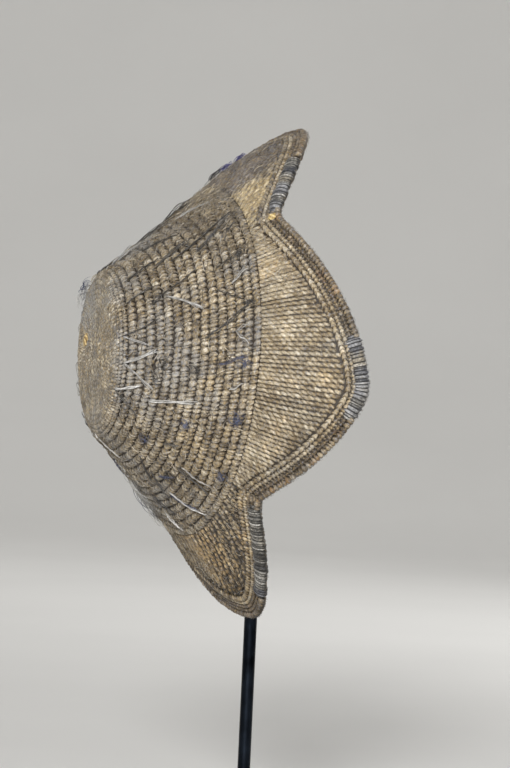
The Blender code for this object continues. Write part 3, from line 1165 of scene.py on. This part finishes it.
@dataclass
class PointDress:
    """One of the four points, from its twisted cords to its whipped edge."""

    point: CapPoint
    wardrobe: Wardrobe
    look: PointLook
    cord_step: float = 0.62
    cord_lift: float = -1.05
    backing_thick: float = 0.4
    edging_lift: float = -0.75
    ridge_lift: float = -0.9
    outer_lift: float = -1.0
    outer_wrap: float = 1.62
    zone_gap: float = 1.2
    blue_inset: float = 2.95
    blue_across: float = 3.05
    blue_height: float = 2.1
    blue_lift: float = -0.95
    blue_wrap: float = 1.25
    outer_radius: float = 1.45
    rung_spacing: float = 1.62
    rung_size: float = 0.34
    rung_shade: float = 0.45
    rung_half: float = 0.8
    rung_slant: float = 0.4

    def age(self, side: Array, along: Array) -> Array:
        """The age of places on the point."""
        return aged(self.look.stains, side, along, self.point.radius_at(along) * self.point.half)

    def build(self) -> None:
        """Make every piece of the point."""
        self.build_backing()
        self.build_cords()
        self.build_border()
        self.build_ladder()

    def build_backing(self) -> None:
        """A thin dark sheet between the cords, which closes the gaps between them with painted
        shade.
        """
        point = self.point

        def place(number: Array, s: Array, t: Array) -> Laid:
            side = (2 * s - 1) + point.lean * (1 - (2 * s - 1) ** 2)
            far = point.reach(side) - self.look.insets[0] * point.border_slant
            spot = point.sheet(side, t * (far + 2) - 2, self.cord_lift)
            return Laid(spot, spot, CORE_TONE, CORE_SHADE)

        sheet = lay(f"panel_{point.name}_backing", 48, [14], place)
        self.wardrobe.dress(thicken(sheet, self.backing_thick), Fibre.CORE, "cord_straw")

    def build_cords(self) -> None:
        """The field of fine twisted cords that fan out from the last coil row."""
        point, look = self.point, self.look
        count = look.cords
        rng = draws("cords of " + point.name)
        inner = EdgeLine(point, look.insets[-1])
        share = -1 + (2 * np.arange(count) + 1 + rng.normal(0, 0.04, count)) / count
        limit = np.interp(share, inner.side, inner.along, -9, -9)
        far = np.maximum(limit + 1.0 + rng.normal(0, 0.3, count), 0.5)
        phase = 0.25 * (np.arange(count) % 2) + rng.normal(0, 0.04, count)
        one_turn = look.lay * (1 + rng.normal(0, 0.03, count))
        sway = rng.normal(0, 0.08, (count, 2))
        tones = np.clip(rng.normal(0.5, 0.28, (count, 24)), 0, 1)
        fat = 1 + rng.normal(0, 0.06, count)
        rates = rng.normal(0, 1, (count, 2))
        steps = np.maximum((far / self.cord_step).astype(int), 2)

        def place(number: Array, s: Array, t: Array) -> Laid:
            side, along = share[number], t * far[number]
            down = along - 0.6
            pitch = point.radius_at(down) * point.half * 2 / count
            radius = 0.6 * np.maximum(pitch, 0.9) * fat[number]
            ripple = np.sin(along * (1.1 + 0.3 * rates[number, 0]) + 7 * rates[number, 1])
            ripple = ripple + np.sin(along * (2.3 + 0.5 * rates[number, 1]) + number)
            radius = radius * (1 + 0.055 * ripple)
            theta = 2 * pi * s
            twist = 2 * pi * (along / one_turn[number] + phase[number])
            twist = twist + 0.3 * np.sin(along * (0.5 + 0.5 * phase[number]) + number)
            turned = theta + look.twist * twist
            ply = np.abs(np.cos(theta))
            height = np.abs(np.sin(turned))
            half = np.where(np.cos(theta) > 0, 0.0, 0.5)
            beat = along / look.bulge + half + 3 * phase[number]
            plump = np.abs(np.sin(pi * beat)) ** 0.6
            felt = 0.6 * np.clip(aged(look.felted, side, down, point.radius_at(down) * point.half),
                                 0, 1)
            size = radius * (1 - look.ply_depth * (1 - felt) * (1 - ply ** 0.8 * plump))
            size = size * np.where((t == 0) | (t == 1), 0, 1)
            aside = size * np.cos(turned)
            aside = aside + sway[number, 0] * np.sin(pi * t) * 0.6 + sway[number, 1] * t * 0.5
            lift = self.cord_lift + size * np.sin(turned)
            lift = lift + 0.09 * np.sin(along * (0.8 + 0.2 * rates[number, 1]) + 3 * number)
            which = (np.floor(beat + 5 * half).astype(int) + 12) % 24
            tone = 0.75 * tones[number, which] + 0.25 * tones[number, 0]
            streak = theta + 0.15 * twist
            grain = joined(along, 1.1 * np.cos(streak) + number * 7.3,
                           1.1 * np.sin(streak))
            spot = point.sheet(side, down, lift, aside)
            # Painted shade between the plies and down the cords' sides, eased in felted patches
            shade = 1 - look.ply_shade * (1 - ply ** 0.8 * plump)
            shade = shade * (1 - (0.1 + look.ply_shade) * (1 - height ** 0.7))
            shade = shade + (1 - shade) * felt
            late = np.clip(t - 0.62, 0, 1) / 0.38
            # Painted light: the tone is raised on ply tops and lowered below them, and it darkens
            # towards the edge
            tone = tone + 0.5 * (height * ply - 0.5) - look.fade * late
            return Laid(spot, grain, tone, shade, self.age(side, down))

        cords = lay(f"panel_{point.name}_cords", 8, steps, place)
        self.wardrobe.dress(cords, look.fibre, "cord_straw", f"panel_{point.name}")

    def build_border(self) -> None:
        """The beaded edging cord, the ridges, the whipped outer edge and its blue-grey wraps."""
        name, point, look = self.point.name, self.point, self.look
        line = EdgeLine(point, look.insets[-2], look.past)
        edging = WhippedEdge(f"edging_{name}_cord", line, 0, line.length, look.edging_radius,
                             look.edging_radius, self.edging_lift, look.edging_wrap, groove=0.34,
                             lean=0.7, tone_drop=look.tone_drop)
        self.wardrobe.dress(edging.build(), look.fibre, "cord_straw", f"edging_{name}")
        ridges = look.insets[1:-2]
        for index, inset in enumerate(ridges):
            line = EdgeLine(point, inset, look.past)
            ridge = WhippedEdge(f"rim_{name}_ridge_{index + 1}", line, 0, line.length,
                                look.ridge_radius, look.ridge_radius * 1.1, self.ridge_lift,
                                look.ridge_wrap, groove=0.3, lean=0.35, tone_drop=look.tone_drop)
            finish = Fibre.CORD if inset == ridges[-1] else Fibre.EDGE
            self.wardrobe.dress(ridge.build(), finish, "edge_straw")
        line = EdgeLine(point, look.insets[0], 0.6)
        marks = [0.0, line.length]
        for zone in look.zones:
            marks[1:1] = [line.mark_of(zone.start) + self.zone_gap,
                          line.mark_of(zone.end) - self.zone_gap]
        for index, (start, end) in enumerate(zip(marks[::2], marks[1::2])):
            if end - start < 2 * self.outer_radius:
                continue
            outer = WhippedEdge(f"rim_{name}_whipping_{index + 1}", line, start, end,
                                self.outer_radius, self.outer_radius * 1.2, self.outer_lift,
                                self.outer_wrap, groove=0.25, lean=0.4, patchy=0.6)
            self.wardrobe.dress(outer.build(), Fibre.EDGE, "edge_straw", f"rim_{name}")
        middle = EdgeLine(point, self.blue_inset)
        for index, zone in enumerate(look.zones):
            stains = tuple(Stain(middle.mark_of(one.turn), 0, one.size, one.age)
                           for one in zone.stains)
            wraps = WhippedEdge(f"rim_{name}_blue_wrap_{index + 1}", middle,
                                middle.mark_of(zone.start), middle.mark_of(zone.end),
                                self.blue_across, self.blue_height, self.blue_lift,
                                self.blue_wrap, groove=0.16, notch=0.0, sides=16, lean=0.12,
                                spread=0.08, end_swell=2.5, patchy=0.2, tone_drop=0.1, valley=1.0,
                                stains=stains)
            self.wardrobe.dress(wraps.build(), Fibre.BLUE_WRAP, "edge_straw")

    def build_ladder(self) -> None:
        """The small stitches that tie the edge cords together, with holes between them."""
        name = self.point.name
        insets = self.look.insets[:-1]
        lines = [EdgeLine(self.point, (one + other) / 2)
                 for one, other in zip(insets, insets[1:])]
        counts = [int(line.length / self.rung_spacing) for line in lines]
        owner = np.repeat(np.arange(len(lines)), counts)
        order = np.concatenate([np.arange(count) for count in counts])
        rng = draws("ladder of " + name)
        jitter = rng.normal(0, 0.08, (len(owner), 3))

        def place(number: Array, s: Array, t: Array) -> Laid:
            theta = 2 * pi * s
            size = self.rung_size * np.where((t == 0) | (t == 1), 0, 1) * (1 + jitter[number, 0])
            out = (2 * t - 1) * self.rung_half + jitter[number, 1]
            lift = self.edging_lift - 0.3 * np.sin(pi * t) ** 2 + size * np.sin(theta)
            mark = (order[number] + 0.5) * self.rung_spacing + (t - 0.5) * self.rung_slant
            mark = mark + jitter[number, 2] + size * np.cos(theta)
            spots = np.stack([line.place(mark, out, lift) for line in lines])
            spot = spots[owner[number], np.arange(len(s))]
            tone = np.clip(0.5 + 3 * jitter[number, 0], 0, 1)
            grain = joined(out, np.cos(theta) + number * 3.1, np.sin(theta))
            # Painted shade: each rung is darkened by one groove value, as shade in the gaps
            # between the edge cords
            return Laid(spot, grain, tone, self.rung_shade)

        ladder = lay(f"rim_{name}_ladder", 6, [4] * len(owner), place)
        self.wardrobe.dress(ladder, self.look.fibre, "edge_straw")


@dataclass
class NotchKnots:
    """The small knots where the edges of two points meet."""

    wardrobe: Wardrobe
    size: float = 1.35
    ridges: float = 0.14
    inside: float = 3.2

    def build(self) -> None:
        """Make a knot at each notch, golden at the notch above the front point."""
        for point in POINTS:
            golden = point.name == "front"
            fibre = Fibre.GOLD_KNOT if golden else Fibre.EDGE
            slot = "knot_straw" if golden else "edge_straw"

            def place(number: Array, s: Array, t: Array) -> Laid:
                theta, fall = 2 * pi * s, pi * t
                twist = 1 + self.ridges * np.cos(3 * theta + 5 * fall)
                sideways = self.size * np.sin(fall) * np.cos(theta) * twist
                along = point.notch - self.inside + 1.25 * self.size * np.cos(fall) * twist
                lift = 0.1 + self.size * np.sin(fall) * np.sin(theta) * twist
                spot = point.sheet(1.0, along, lift, sideways)
                # Painted light: the tone is lighter on the twist's ridges and darker in its
                # hollows, and the groove value paints shade in the hollows
                tone = 0.5 + 0.4 * np.cos(3 * theta + 5 * fall)
                return Laid(spot, spot, tone, np.clip(6 * twist - 5.0, 0, 1))

            knot = lay(f"notch_knot_{point.name}", 16, [10], place)
            self.wardrobe.dress(knot, fibre, slot)


@dataclass
class Fuzz:
    """Fine broken fibres that stand off the raffia, and thicker ones that lie along it."""

    wardrobe: Wardrobe
    crown_hairs: int = 1000
    point_hairs: int = 260
    edge_hairs: int = 440
    crown_strands: int = 1200
    thick_strands: int = 260
    thick_turn: float = radians(66)
    mat_strands: int = 220
    mat_turn: float = radians(84)
    point_strands: int = 220

    def hairs(self, name: str, count: int, where: Callable[[Array, Array, Array], Array],
              long: tuple[float, float], rises: tuple[float, float], thin: float, fibre: Fibre,
              slot: str, aim: tuple[float, float] = (0.0, 9.0), age: float = 0.0) -> None:
        """Make one mesh of hairs.

        Args:
            name: the piece's name.
            count: number of hairs.
            where: gives places for arrays of hair number, sideways shift and lift.
            long: shortest and longest hair.
            rises: least and greatest angle from the surface.
            thin: radius at the root.
            fibre: the finish.
            slot: the record's material slot.
            aim: the hairs' mean heading and how far they spread from it.
            age: the age that the finish reads.
        """
        rng = draws(name)
        length = rng.uniform(*long, count)
        heading = rng.normal(*aim, count)
        stand = rng.uniform(*rises, count)
        curl = rng.normal(0, 0.7, count)

        def place(number: Array, s: Array, t: Array) -> Laid:
            theta = 2 * pi * s
            size = thin * (1 - 0.7 * t)
            run = length[number] * t
            rise = run * np.sin(stand[number]) * (1 - 0.35 * t) + 3 * thin * np.sin(pi * t)
            flat = run * np.cos(stand[number])
            turn = heading[number] + curl[number] * t
            across = flat * np.cos(turn) - size * np.cos(theta) * np.sin(turn)
            down = flat * np.sin(turn) + size * np.cos(theta) * np.cos(turn)
            spot = where(number, joined(across, down),
                         rise + size * np.sin(theta) - 0.15)
            grain = joined(run, number * 1.0, size)
            tone = (number * 0.618) % 1.0
            return Laid(spot, grain, tone, 1.0, age)

        self.wardrobe.dress(lay(name, 3, [4] * count, place), fibre, slot)

    def build(self) -> None:
        """Make the hairs of the crown, the points and their edges."""
        rng = draws("fuzz")
        total = self.crown_hairs + self.crown_strands
        start = rng.uniform(0.2, 1, total) ** 0.6 * (CAP.total - 1)
        turn = rng.uniform(0, 2 * pi, total)
        thick = slice(self.crown_hairs, self.crown_hairs + self.thick_strands)
        start[thick] = CAP.total - np.abs(rng.normal(0, 16, self.thick_strands)) - 2
        turn[thick] = self.thick_turn + rng.normal(0, 0.26, self.thick_strands)

        def on_crown(number: Array, shift: Array, lift: Array) -> Array:
            radius = np.maximum(CAP.radius_at(CAP.total) * start[number] / CAP.total, 6)
            return CAP.crown(np.clip(start[number] + shift[:, 1], 4, CAP.total),
                             turn[number] + shift[:, 0] / radius, lift)

        def lying(number: Array, shift: Array, lift: Array) -> Array:
            return on_crown(number + self.crown_hairs, shift, lift + 0.3)

        matted = joined(CAP.total + 1.5 - np.abs(rng.normal(0, 7, self.mat_strands)),
                        self.mat_turn + rng.normal(0, 0.2, self.mat_strands))

        def in_mat(number: Array, shift: Array, lift: Array) -> Array:
            length = np.clip(matted[number, 0] - 4 + shift[:, 1], 4, CAP.total + 1.5)
            radius = CAP.radius_at(CAP.total)
            return CAP.crown(length, matted[number, 1] + shift[:, 0] / radius, lift + 0.35)

        standing, flat = (0.25, 1.2), (0.0, 0.08)
        self.hairs("crown_matted_strands", self.mat_strands, in_mat, (3.0, 7.0), flat, 0.17,
                   Fibre.CORD_UPPER, "coil_straw", (pi / 2, 0.35), -0.3)
        self.hairs("crown_fuzz", self.crown_hairs, on_crown, (1.0, 3.6), standing, 0.07,
                   Fibre.PALE_THREAD, "coil_straw")
        self.hairs("crown_broken_strands", self.crown_strands, lying, (2.5, 8.0), flat, 0.2,
                   Fibre.COIL, "coil_straw")
        for point in POINTS:
            count = self.point_hairs + self.point_strands
            side = rng.uniform(-0.98, 0.98, count)
            share = rng.uniform(0.02, 0.98, count)
            face = np.where(rng.random(count) < 0.7, 1, -1)
            line = EdgeLine(point, 0.3)
            mark = rng.uniform(0, line.length, self.edge_hairs)

            def on_point(number: Array, shift: Array, lift: Array) -> Array:
                along = share[number] * (point.reach(side[number]) - 6)
                height = np.where(face[number] > 0, lift, -2.0 - lift)
                return point.sheet(side[number], along + shift[:, 1], height, shift[:, 0])

            def strand_on_point(number: Array, shift: Array, lift: Array) -> Array:
                number = number + self.point_hairs
                along = 2 + share[number] * (point.reach(side[number]) - 14)
                return point.sheet(side[number], along + shift[:, 1], lift, 0.6 * shift[:, 0])

            def on_edge(number: Array, shift: Array, lift: Array) -> Array:
                return line.place(np.clip(mark[number] + shift[:, 0], 0, line.length), lift,
                                  -1.0 + shift[:, 1])

            self.hairs(f"panel_{point.name}_fuzz", self.point_hairs, on_point, (0.8, 2.4),
                       standing, 0.06, Fibre.PALE_THREAD, "cord_straw")
            self.hairs(f"panel_{point.name}_broken_strands", self.point_strands,
                       strand_on_point, (2.0, 5.0), flat, 0.12, Fibre.CORD, "cord_straw")
            self.hairs(f"rim_{point.name}_fuzz", self.edge_hairs, on_edge, (0.6, 1.9),
                       standing, 0.08, Fibre.EDGE, "edge_straw")


class Surface(Enum):
    """The part of the cap that a tuft grows from."""

    CROWN = "crown"
    UPPER = "upper"


@dataclass(frozen=True)
class Tuft:
    """A small tangle of thread ends.

    On the crown its place is (turn in degrees, length); on a point it is (side, along).
    """

    turn: float
    down: float
    strands: int = 14
    shortest: float = 1.6
    longest: float = 4.0
    rise: float = 0.9
    curl: float = 2.6
    heading: float | None = None
    spread: float = 0.5


TUFTS = {
    (Surface.CROWN, Fibre.BLUE_THREAD): (
        Tuft(-29, 60), Tuft(-20, 80.5, 18, longest=5.5), Tuft(0.4, 80), Tuft(-41.7, 80.5),
        Tuft(-50, 47, 10), Tuft(126, 29.5, 14, 2, 5, 2.8, spread=1),
        Tuft(-106, 66, 10, 8, 16, 2.4, 0.7, 85, 2.5)),
    (Surface.CROWN, Fibre.DARK_THREAD): (
        Tuft(-4.2, 47.5), Tuft(-5.1, 61, 18), Tuft(20, 80, 18), Tuft(40, 80), Tuft(31, 45, 10),
        Tuft(-12, 45, 8), Tuft(-58, 62, 12, longest=6), Tuft(58, 62, 12, longest=6),
        Tuft(96, 50, 10, 10, 22, 1.6, 0.5, 95, 2), Tuft(100, 68, 12, 8, 16, 1.8, 0.8, 90, 2.5)),
    (Surface.CROWN, Fibre.PALE_THREAD): (
        Tuft(128, 28, 22, 3, 6.5, 3.2, 2, spread=1.2), Tuft(-103, 60, 20, 8, 20, 1.6, 0.5, 80, 3),
        Tuft(-104, 72, 14, 6, 11, 2.6, 1.2, 100, 2.5), Tuft(92, 40, 10, 8, 18, 1.8, 0.6, 80, 2.5)),
    (Surface.UPPER, Fibre.DARK_THREAD): (Tuft(0.22, 8, 12, 5, 12, 1.6, 0.8, 90, 2),),
    (Surface.UPPER, Fibre.VIOLET_THREAD): (
        Tuft(0.12, 13, 18, 1.6, 3.6, 1.5, spread=1), Tuft(0.1, 20, 14, 1.6, 3.4, 1.3, spread=0.8)),
}


@dataclass
class Tufts:
    """The tangles and wisps of loose thread on the crown and the upper point."""

    wardrobe: Wardrobe
    radius: float = 0.15

    def build(self) -> None:
        """Make one piece for each colour of tuft on each surface."""
        for (surface, fibre), tufts in TUFTS.items():
            self.build_colour(surface, fibre, tufts)

    def build_colour(self, surface: Surface, fibre: Fibre, tufts: tuple[Tuft, ...]) -> None:
        """Make the tufts of one colour.

        Args:
            surface: the surface they grow from.
            fibre: their finish.
            tufts: the tufts.
        """
        name = f"{surface.value}_tufts_{fibre.name.split('_')[0].lower()}"
        rng = draws(name)
        whose = [tuft for tuft in tufts for _ in range(tuft.strands)]
        count = len(whose)
        home, down, spread, curl, rise = np.array(
            [(tuft.turn, tuft.down, tuft.spread, tuft.curl, tuft.rise) for tuft in whose]).T
        shift = rng.normal(0, 1, (count, 2)) * spread[:, None]
        run = np.array([rng.uniform(tuft.shortest, tuft.longest) for tuft in whose])
        aim = np.array([rng.uniform(0, 2 * pi) if tuft.heading is None
                        else radians(tuft.heading) + rng.normal(0, 0.25) for tuft in whose])
        curl = curl * rng.choice([-1, 1], count) * rng.uniform(0.5, 1.3, count)
        rise = rise * rng.uniform(0.3, 1.2, count)
        size = self.radius * rng.uniform(0.6, 1.3, count)
        tone = rng.random(count)

        def place(number: Array, s: Array, t: Array) -> Laid:
            theta = 2 * pi * s
            turn = aim[number] + curl[number] * (t - 0.3)
            width = size[number] * np.where((t == 0) | (t == 1), 0.05, 1 - 0.5 * t)
            across = shift[number, 0] + run[number] * t * np.cos(turn)
            across = across - width * np.cos(theta) * np.sin(turn)
            onward = shift[number, 1] + run[number] * t * np.sin(turn)
            onward = onward + width * np.cos(theta) * np.cos(turn)
            lift = rise[number] * np.sin(pi * (0.1 + 0.75 * t)) ** 0.8 + width * np.sin(theta)
            if surface is Surface.CROWN:
                length = np.clip(down[number] + onward, 3, CAP.total + 1.5)
                radius = np.maximum(29 + SIDE_GAIN * (length - 33), 20)
                laid = CAP.crown(length, radians(1) * home[number] + across / radius, lift)
            else:
                laid = POINTS[1].sheet(home[number], down[number] + onward, lift, across)
            grain = joined(run[number] * t, np.cos(theta) + 9 * tone[number],
                           np.sin(theta))
            return Laid(laid, grain, tone[number], 1.0)

        slot = "coil_straw" if surface is Surface.CROWN else "cord_straw"
        self.wardrobe.dress(lay(name, 5, [12] * count, place), fibre, slot)


# The stand

@dataclass
class Stand:
    """The thin rod, its hidden bend and head, and the plain base plate."""

    wardrobe: Wardrobe
    rod: float = 5.0
    rod_steps: int = 60
    bend: float = 16.0
    base: float = 8.0
    gap: float = 0.3
    head_wall: float = 3.3
    head_top: float = 2.7
    head_depth: float = 11.0
    head_steps: int = 72

    def build(self) -> None:
        """Make the rod and the head, and dress the base."""
        mouth = self.build_head()
        self.build_rod(mouth)
        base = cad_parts["stand_base"]
        base.data.materials.clear()
        base.data.materials.append(PowderCoat().build())

    def build_head(self) -> float:
        """The head inside the narrow end of the crown.

        Returns:
            The depth of its open face.
        """
        slope = CAP.slope
        start = Vector((CAP.top_depth, CAP.top_radius))
        start -= self.head_wall * Vector((-sin(slope), cos(slope)))
        depth = CAP.top_depth + self.head_top
        corner = start + Vector((cos(slope), sin(slope))) * ((depth - start.x) / cos(slope))
        mouth = corner + Vector((1, tan(slope))) * self.head_depth
        mouth -= CAP.hollow * Vector((-sin(slope), cos(slope)))
        soft = 0.8
        profile = [(corner.x, 0.001), (corner.x, corner.y * 0.5), (corner.x, corner.y - soft),
                   (corner.x + soft, corner.y + 0.3), (mouth.x - soft, mouth.y - 0.6),
                   (mouth.x, mouth.y - 1.6), (mouth.x, mouth.y * 0.5), (mouth.x, 0.001)]

        def place(spun_at: Array) -> Array:
            x, y, height = spun_at.T
            return CAP.world(-height, np.hypot(x, y), np.arctan2(y, x)) * MM

        head = spun("support_head_felt", [(radius, -depth) for depth, radius in profile],
                    self.head_steps, place)
        self.wardrobe.dress(head, Felt(), "grey_felt", "support_head")
        return mouth.x

    def build_rod(self, mouth: float) -> None:
        """The rod: up from the base, round its bend and along the cap's axis to the head."""
        droop = CAP.droop
        end = CAP.world(np.array([mouth + self.gap]), np.array([0.0]), np.array([0.0]))[0]
        level = CAP.height - CAP.reach * sin(droop) / cos(droop)
        inner = self.bend * tan((pi / 2 - droop) / 2)
        foot, knee = self.base + self.gap, level - inner
        swing = pi / 2 - droop

        def place(number: Array, s: Array, t: Array) -> Laid:
            marks = np.clip(((self.rod_steps + 2) * t - 1) / self.rod_steps, 0, 1) * 3
            rise = np.clip(marks, 0, 1)
            round_share = np.clip(marks - 1, 0, 1)
            level_share = np.clip(marks - 2, 0, 1)
            angle = round_share * swing
            x = -self.bend + self.bend * np.cos(angle)
            z = foot + (knee - foot) * rise + self.bend * np.sin(angle)
            bend_x, bend_z = -self.bend + self.bend * cos(swing), knee + self.bend * sin(swing)
            x = x + (end[0] - bend_x) * level_share
            z = z + (end[2] - bend_z) * level_share
            size = self.rod / 2 * np.where((t == 0) | (t == 1), 0, 1)
            theta = 2 * pi * s
            spot = joined(x + size * np.cos(theta) * np.cos(angle), size * np.sin(theta),
                          z + size * np.cos(theta) * np.sin(angle))
            return Laid(spot, spot, 0.5, 1.0)

        rod = lay("stand_rod_steel", 24, [self.rod_steps + 2], place)
        self.wardrobe.dress(rod, DarkSteel(), "dark_steel", "stand_rod")


# The studio

@dataclass
class Studio:
    """The camera at the photograph's angle, a pale floor that sweeps up, and soft lights."""

    focal_pixels: float = 3400.8
    image_height: int = 768
    sensor: float = 36.0
    away: tuple[float, float, float] = (-409.7, -1235.1, -9.1)
    yaw: float = radians(20.86)
    roll: float = radians(2.66)

    def build(self) -> None:
        """Make the camera, the floor and the lights."""
        self.build_camera()
        self.build_floor()
        self.build_lights()

    def build_camera(self) -> None:
        """The camera, rolled a little so that the stand leans as it does in the picture."""
        data = bpy.data.cameras.new("camera")
        data.sensor_width = self.sensor
        data.lens = self.focal_pixels * self.sensor / self.image_height
        data.clip_start, data.clip_end = 0.05, 30
        camera = new_object("camera", data)
        spot = Vector((-CAP.reach, 0, CAP.height)) + Vector(self.away)
        turn = Matrix.Rotation(-self.yaw, 4, "Z") @ Matrix.Rotation(pi / 2, 4, "X")
        camera.matrix_world = (Matrix.Translation(spot * MM) @ turn
                               @ Matrix.Rotation(self.roll, 4, "Z"))
        bpy.context.scene.camera = camera

    def build_floor(self) -> None:
        """A pale floor that curves up all round into a pale wall."""
        flat, bend, top = 2.4, 1.8, 3.4
        profile = [(0.0, 0.0), (0.7, 0.0), (1.5, 0.0), (flat, 0.0)]
        profile += [(flat + bend * sin(a), bend * (1 - cos(a)))
                    for a in np.linspace(0, pi / 2, 14)[1:]]
        profile.append((flat + bend, top))
        floor = spun("studio_floor", profile, 96, lambda spun_at: spun_at)
        if sum(face.normal.z for face in floor.data.polygons) < 0:
            floor.data.flip_normals()
        material, shader, add = new_material("pale_paper_sweep")
        tooth = add("TexNoise", Scale=3.0, Detail=3.0, Vector=add("TexCoord", "Object"))
        colour = add("ValToRGB", Fac=tooth, stops=((0.3, "#e4e3e0"), (0.7, "#e8e7e4")))
        put(shader, Base_Color=colour, Roughness=0.9)
        floor.data.materials.append(material)

    def build_lights(self) -> None:
        """A large soft key from above the front, a weak fill and a pale room."""
        cap = (-0.02, 0, CAP.height * MM)
        for name, spot, size, power, goal in (
                ("key", (-0.68, -1.32, 0.62), 0.26, 25.0, cap),
                ("fill", (0.95, -1.35, 0.62), 0.8, 1.5, cap),
                ("back", (1.3, 0.9, 0.9), 0.8, 9.0, cap),
                ("wall", (0.5, 1.3, 1.9), 1.2, 16.0, (1.4, 3.7, 0.5))):
            data = bpy.data.lights.new(name, "AREA")
            data.shape = "DISK"
            data.size = size
            data.energy = power
            lamp = new_object(name, data)
            lamp.location = spot
            lamp.visible_camera = False
            aim = Vector(goal) - Vector(spot)
            lamp.rotation_euler = aim.to_track_quat("-Z", "Y").to_euler()
        world = bpy.data.worlds.new("room")
        world.use_nodes = True
        back = world.node_tree.nodes["Background"]
        back.inputs["Color"].default_value = linear("#e8e7e6")
        back.inputs["Strength"].default_value = 0.37
        bpy.context.scene.world = world
        bpy.context.scene.view_settings.view_transform = "Standard"


FRONT_LOOK = PointLook(
    Fibre.CORD, cords=70, lay=5.2, bulge=2.6, twist=1, ply_depth=0.28, ply_shade=0.5,
    insets=(1.4, 3.6, 5.7, 7.8, 9.3), ridge_radius=0.88, ridge_wrap=1.6, edging_radius=1.12,
    edging_wrap=2.15, tone_drop=0.4, fade=0.5, past=3.0,
    stains=patches((-0.5, 12, 14, -0.3), (0.6, 10, 10, -0.3), (0.3, 24, 9, 0.3)),
    felted=patches((0.62, 6, 14, 0.9), (0.2, 2, 9, 0.8), (-0.2, 1, 6, 0.6), (-0.6, 2, 8, 0.6)),
    zones=(WrapZone(-0.33, 0.13, patches((0.1, 0, 3, 1.0), (0.0, 0, 3, -1.0),
                                         (-0.28, 0, 3, 0.7))),))
UPPER_LOOK = PointLook(
    Fibre.CORD_UPPER, cords=70, lay=7.5, bulge=2.3, twist=-1, ply_depth=0.32, ply_shade=0.75,
    insets=(1.4, 3.5, 5.2, 6.9, 8.8, 10.1), ridge_radius=0.9, ridge_wrap=1.15,
    edging_radius=1.15, edging_wrap=1.6, tone_drop=0.1, fade=0.1,
    stains=patches((-0.76, 3, 9, -2.2), (-0.7, 12, 8, -2.0), (-0.56, 4, 6, -1.6),
                   (-0.6, 21, 6, -1.4), (-0.36, 4, 7, 2.0), (-0.34, 12, 8, 2.0),
                   (-0.3, 20, 8, 1.8), (-0.26, 28, 8, 1.8), (0.1, 10, 16, 1.5),
                   (0.1, 32, 16, 1.3), (-0.5, 34, 5, -0.8)),
    felted=patches((-0.2, 6, 16, 0.9), (-0.1, 26, 16, 0.8), (-0.75, 8, 10, 0.9)),
    zones=(WrapZone(-0.96, -0.52, patches((-0.8, 0, 2.5, 2.2), (-0.66, 0, 3, 1.2),
                                          (-0.72, 0, 2, -1.2))),))
BACK_LOOK = replace(
    FRONT_LOOK, stains=patches((0.4, 14, 14, 0.6), (-0.5, 10, 12, -0.4)), felted=(),
    zones=(WrapZone(-0.1, 0.34),))
LOWER_LOOK = PointLook(
    Fibre.CORD_LOWER, cords=58, lay=14.0, bulge=2.3, twist=1, ply_depth=0.45, ply_shade=0.9,
    insets=(1.4, 3.5, 5.2, 6.9, 8.8, 10.2), ridge_radius=0.9, ridge_wrap=1.15,
    edging_radius=1.4, edging_wrap=1.7, tone_drop=0.3, fade=0.8,
    stains=patches((0.1, 8, 12, -1.1), (0.4, 8, 10, -1.2), (0.2, 20, 8, -0.6),
                   (-0.7, 6, 16, 1.0), (-0.2, 34, 12, 1.2)),
    felted=patches((0.0, 2, 7, 0.8), (-0.1, 16, 12, 0.6), (-0.45, 16, 14, 0.9)),
    zones=(WrapZone(0.37, 0.96, patches((0.42, 0, 2.2, 3.0), (0.6, 0, 3, 0.5),
                                        (0.75, 0, 4, -0.6))),))
LOOKS = (FRONT_LOOK, UPPER_LOOK, BACK_LOOK, LOWER_LOOK)


def main() -> None:
    """Build the cap, its stand and the studio."""
    logging.basicConfig(level=logging.INFO, format="%(message)s")
    wardrobe = Wardrobe()
    Studio().build()
    Crown(wardrobe).build()
    for point, look in zip(POINTS, LOOKS):
        PointDress(point, wardrobe, look).build()
    NotchKnots(wardrobe).build()
    Tufts(wardrobe).build()
    Fuzz(wardrobe).build()
    Stand(wardrobe).build()


if __name__ == "__main__":
    main()
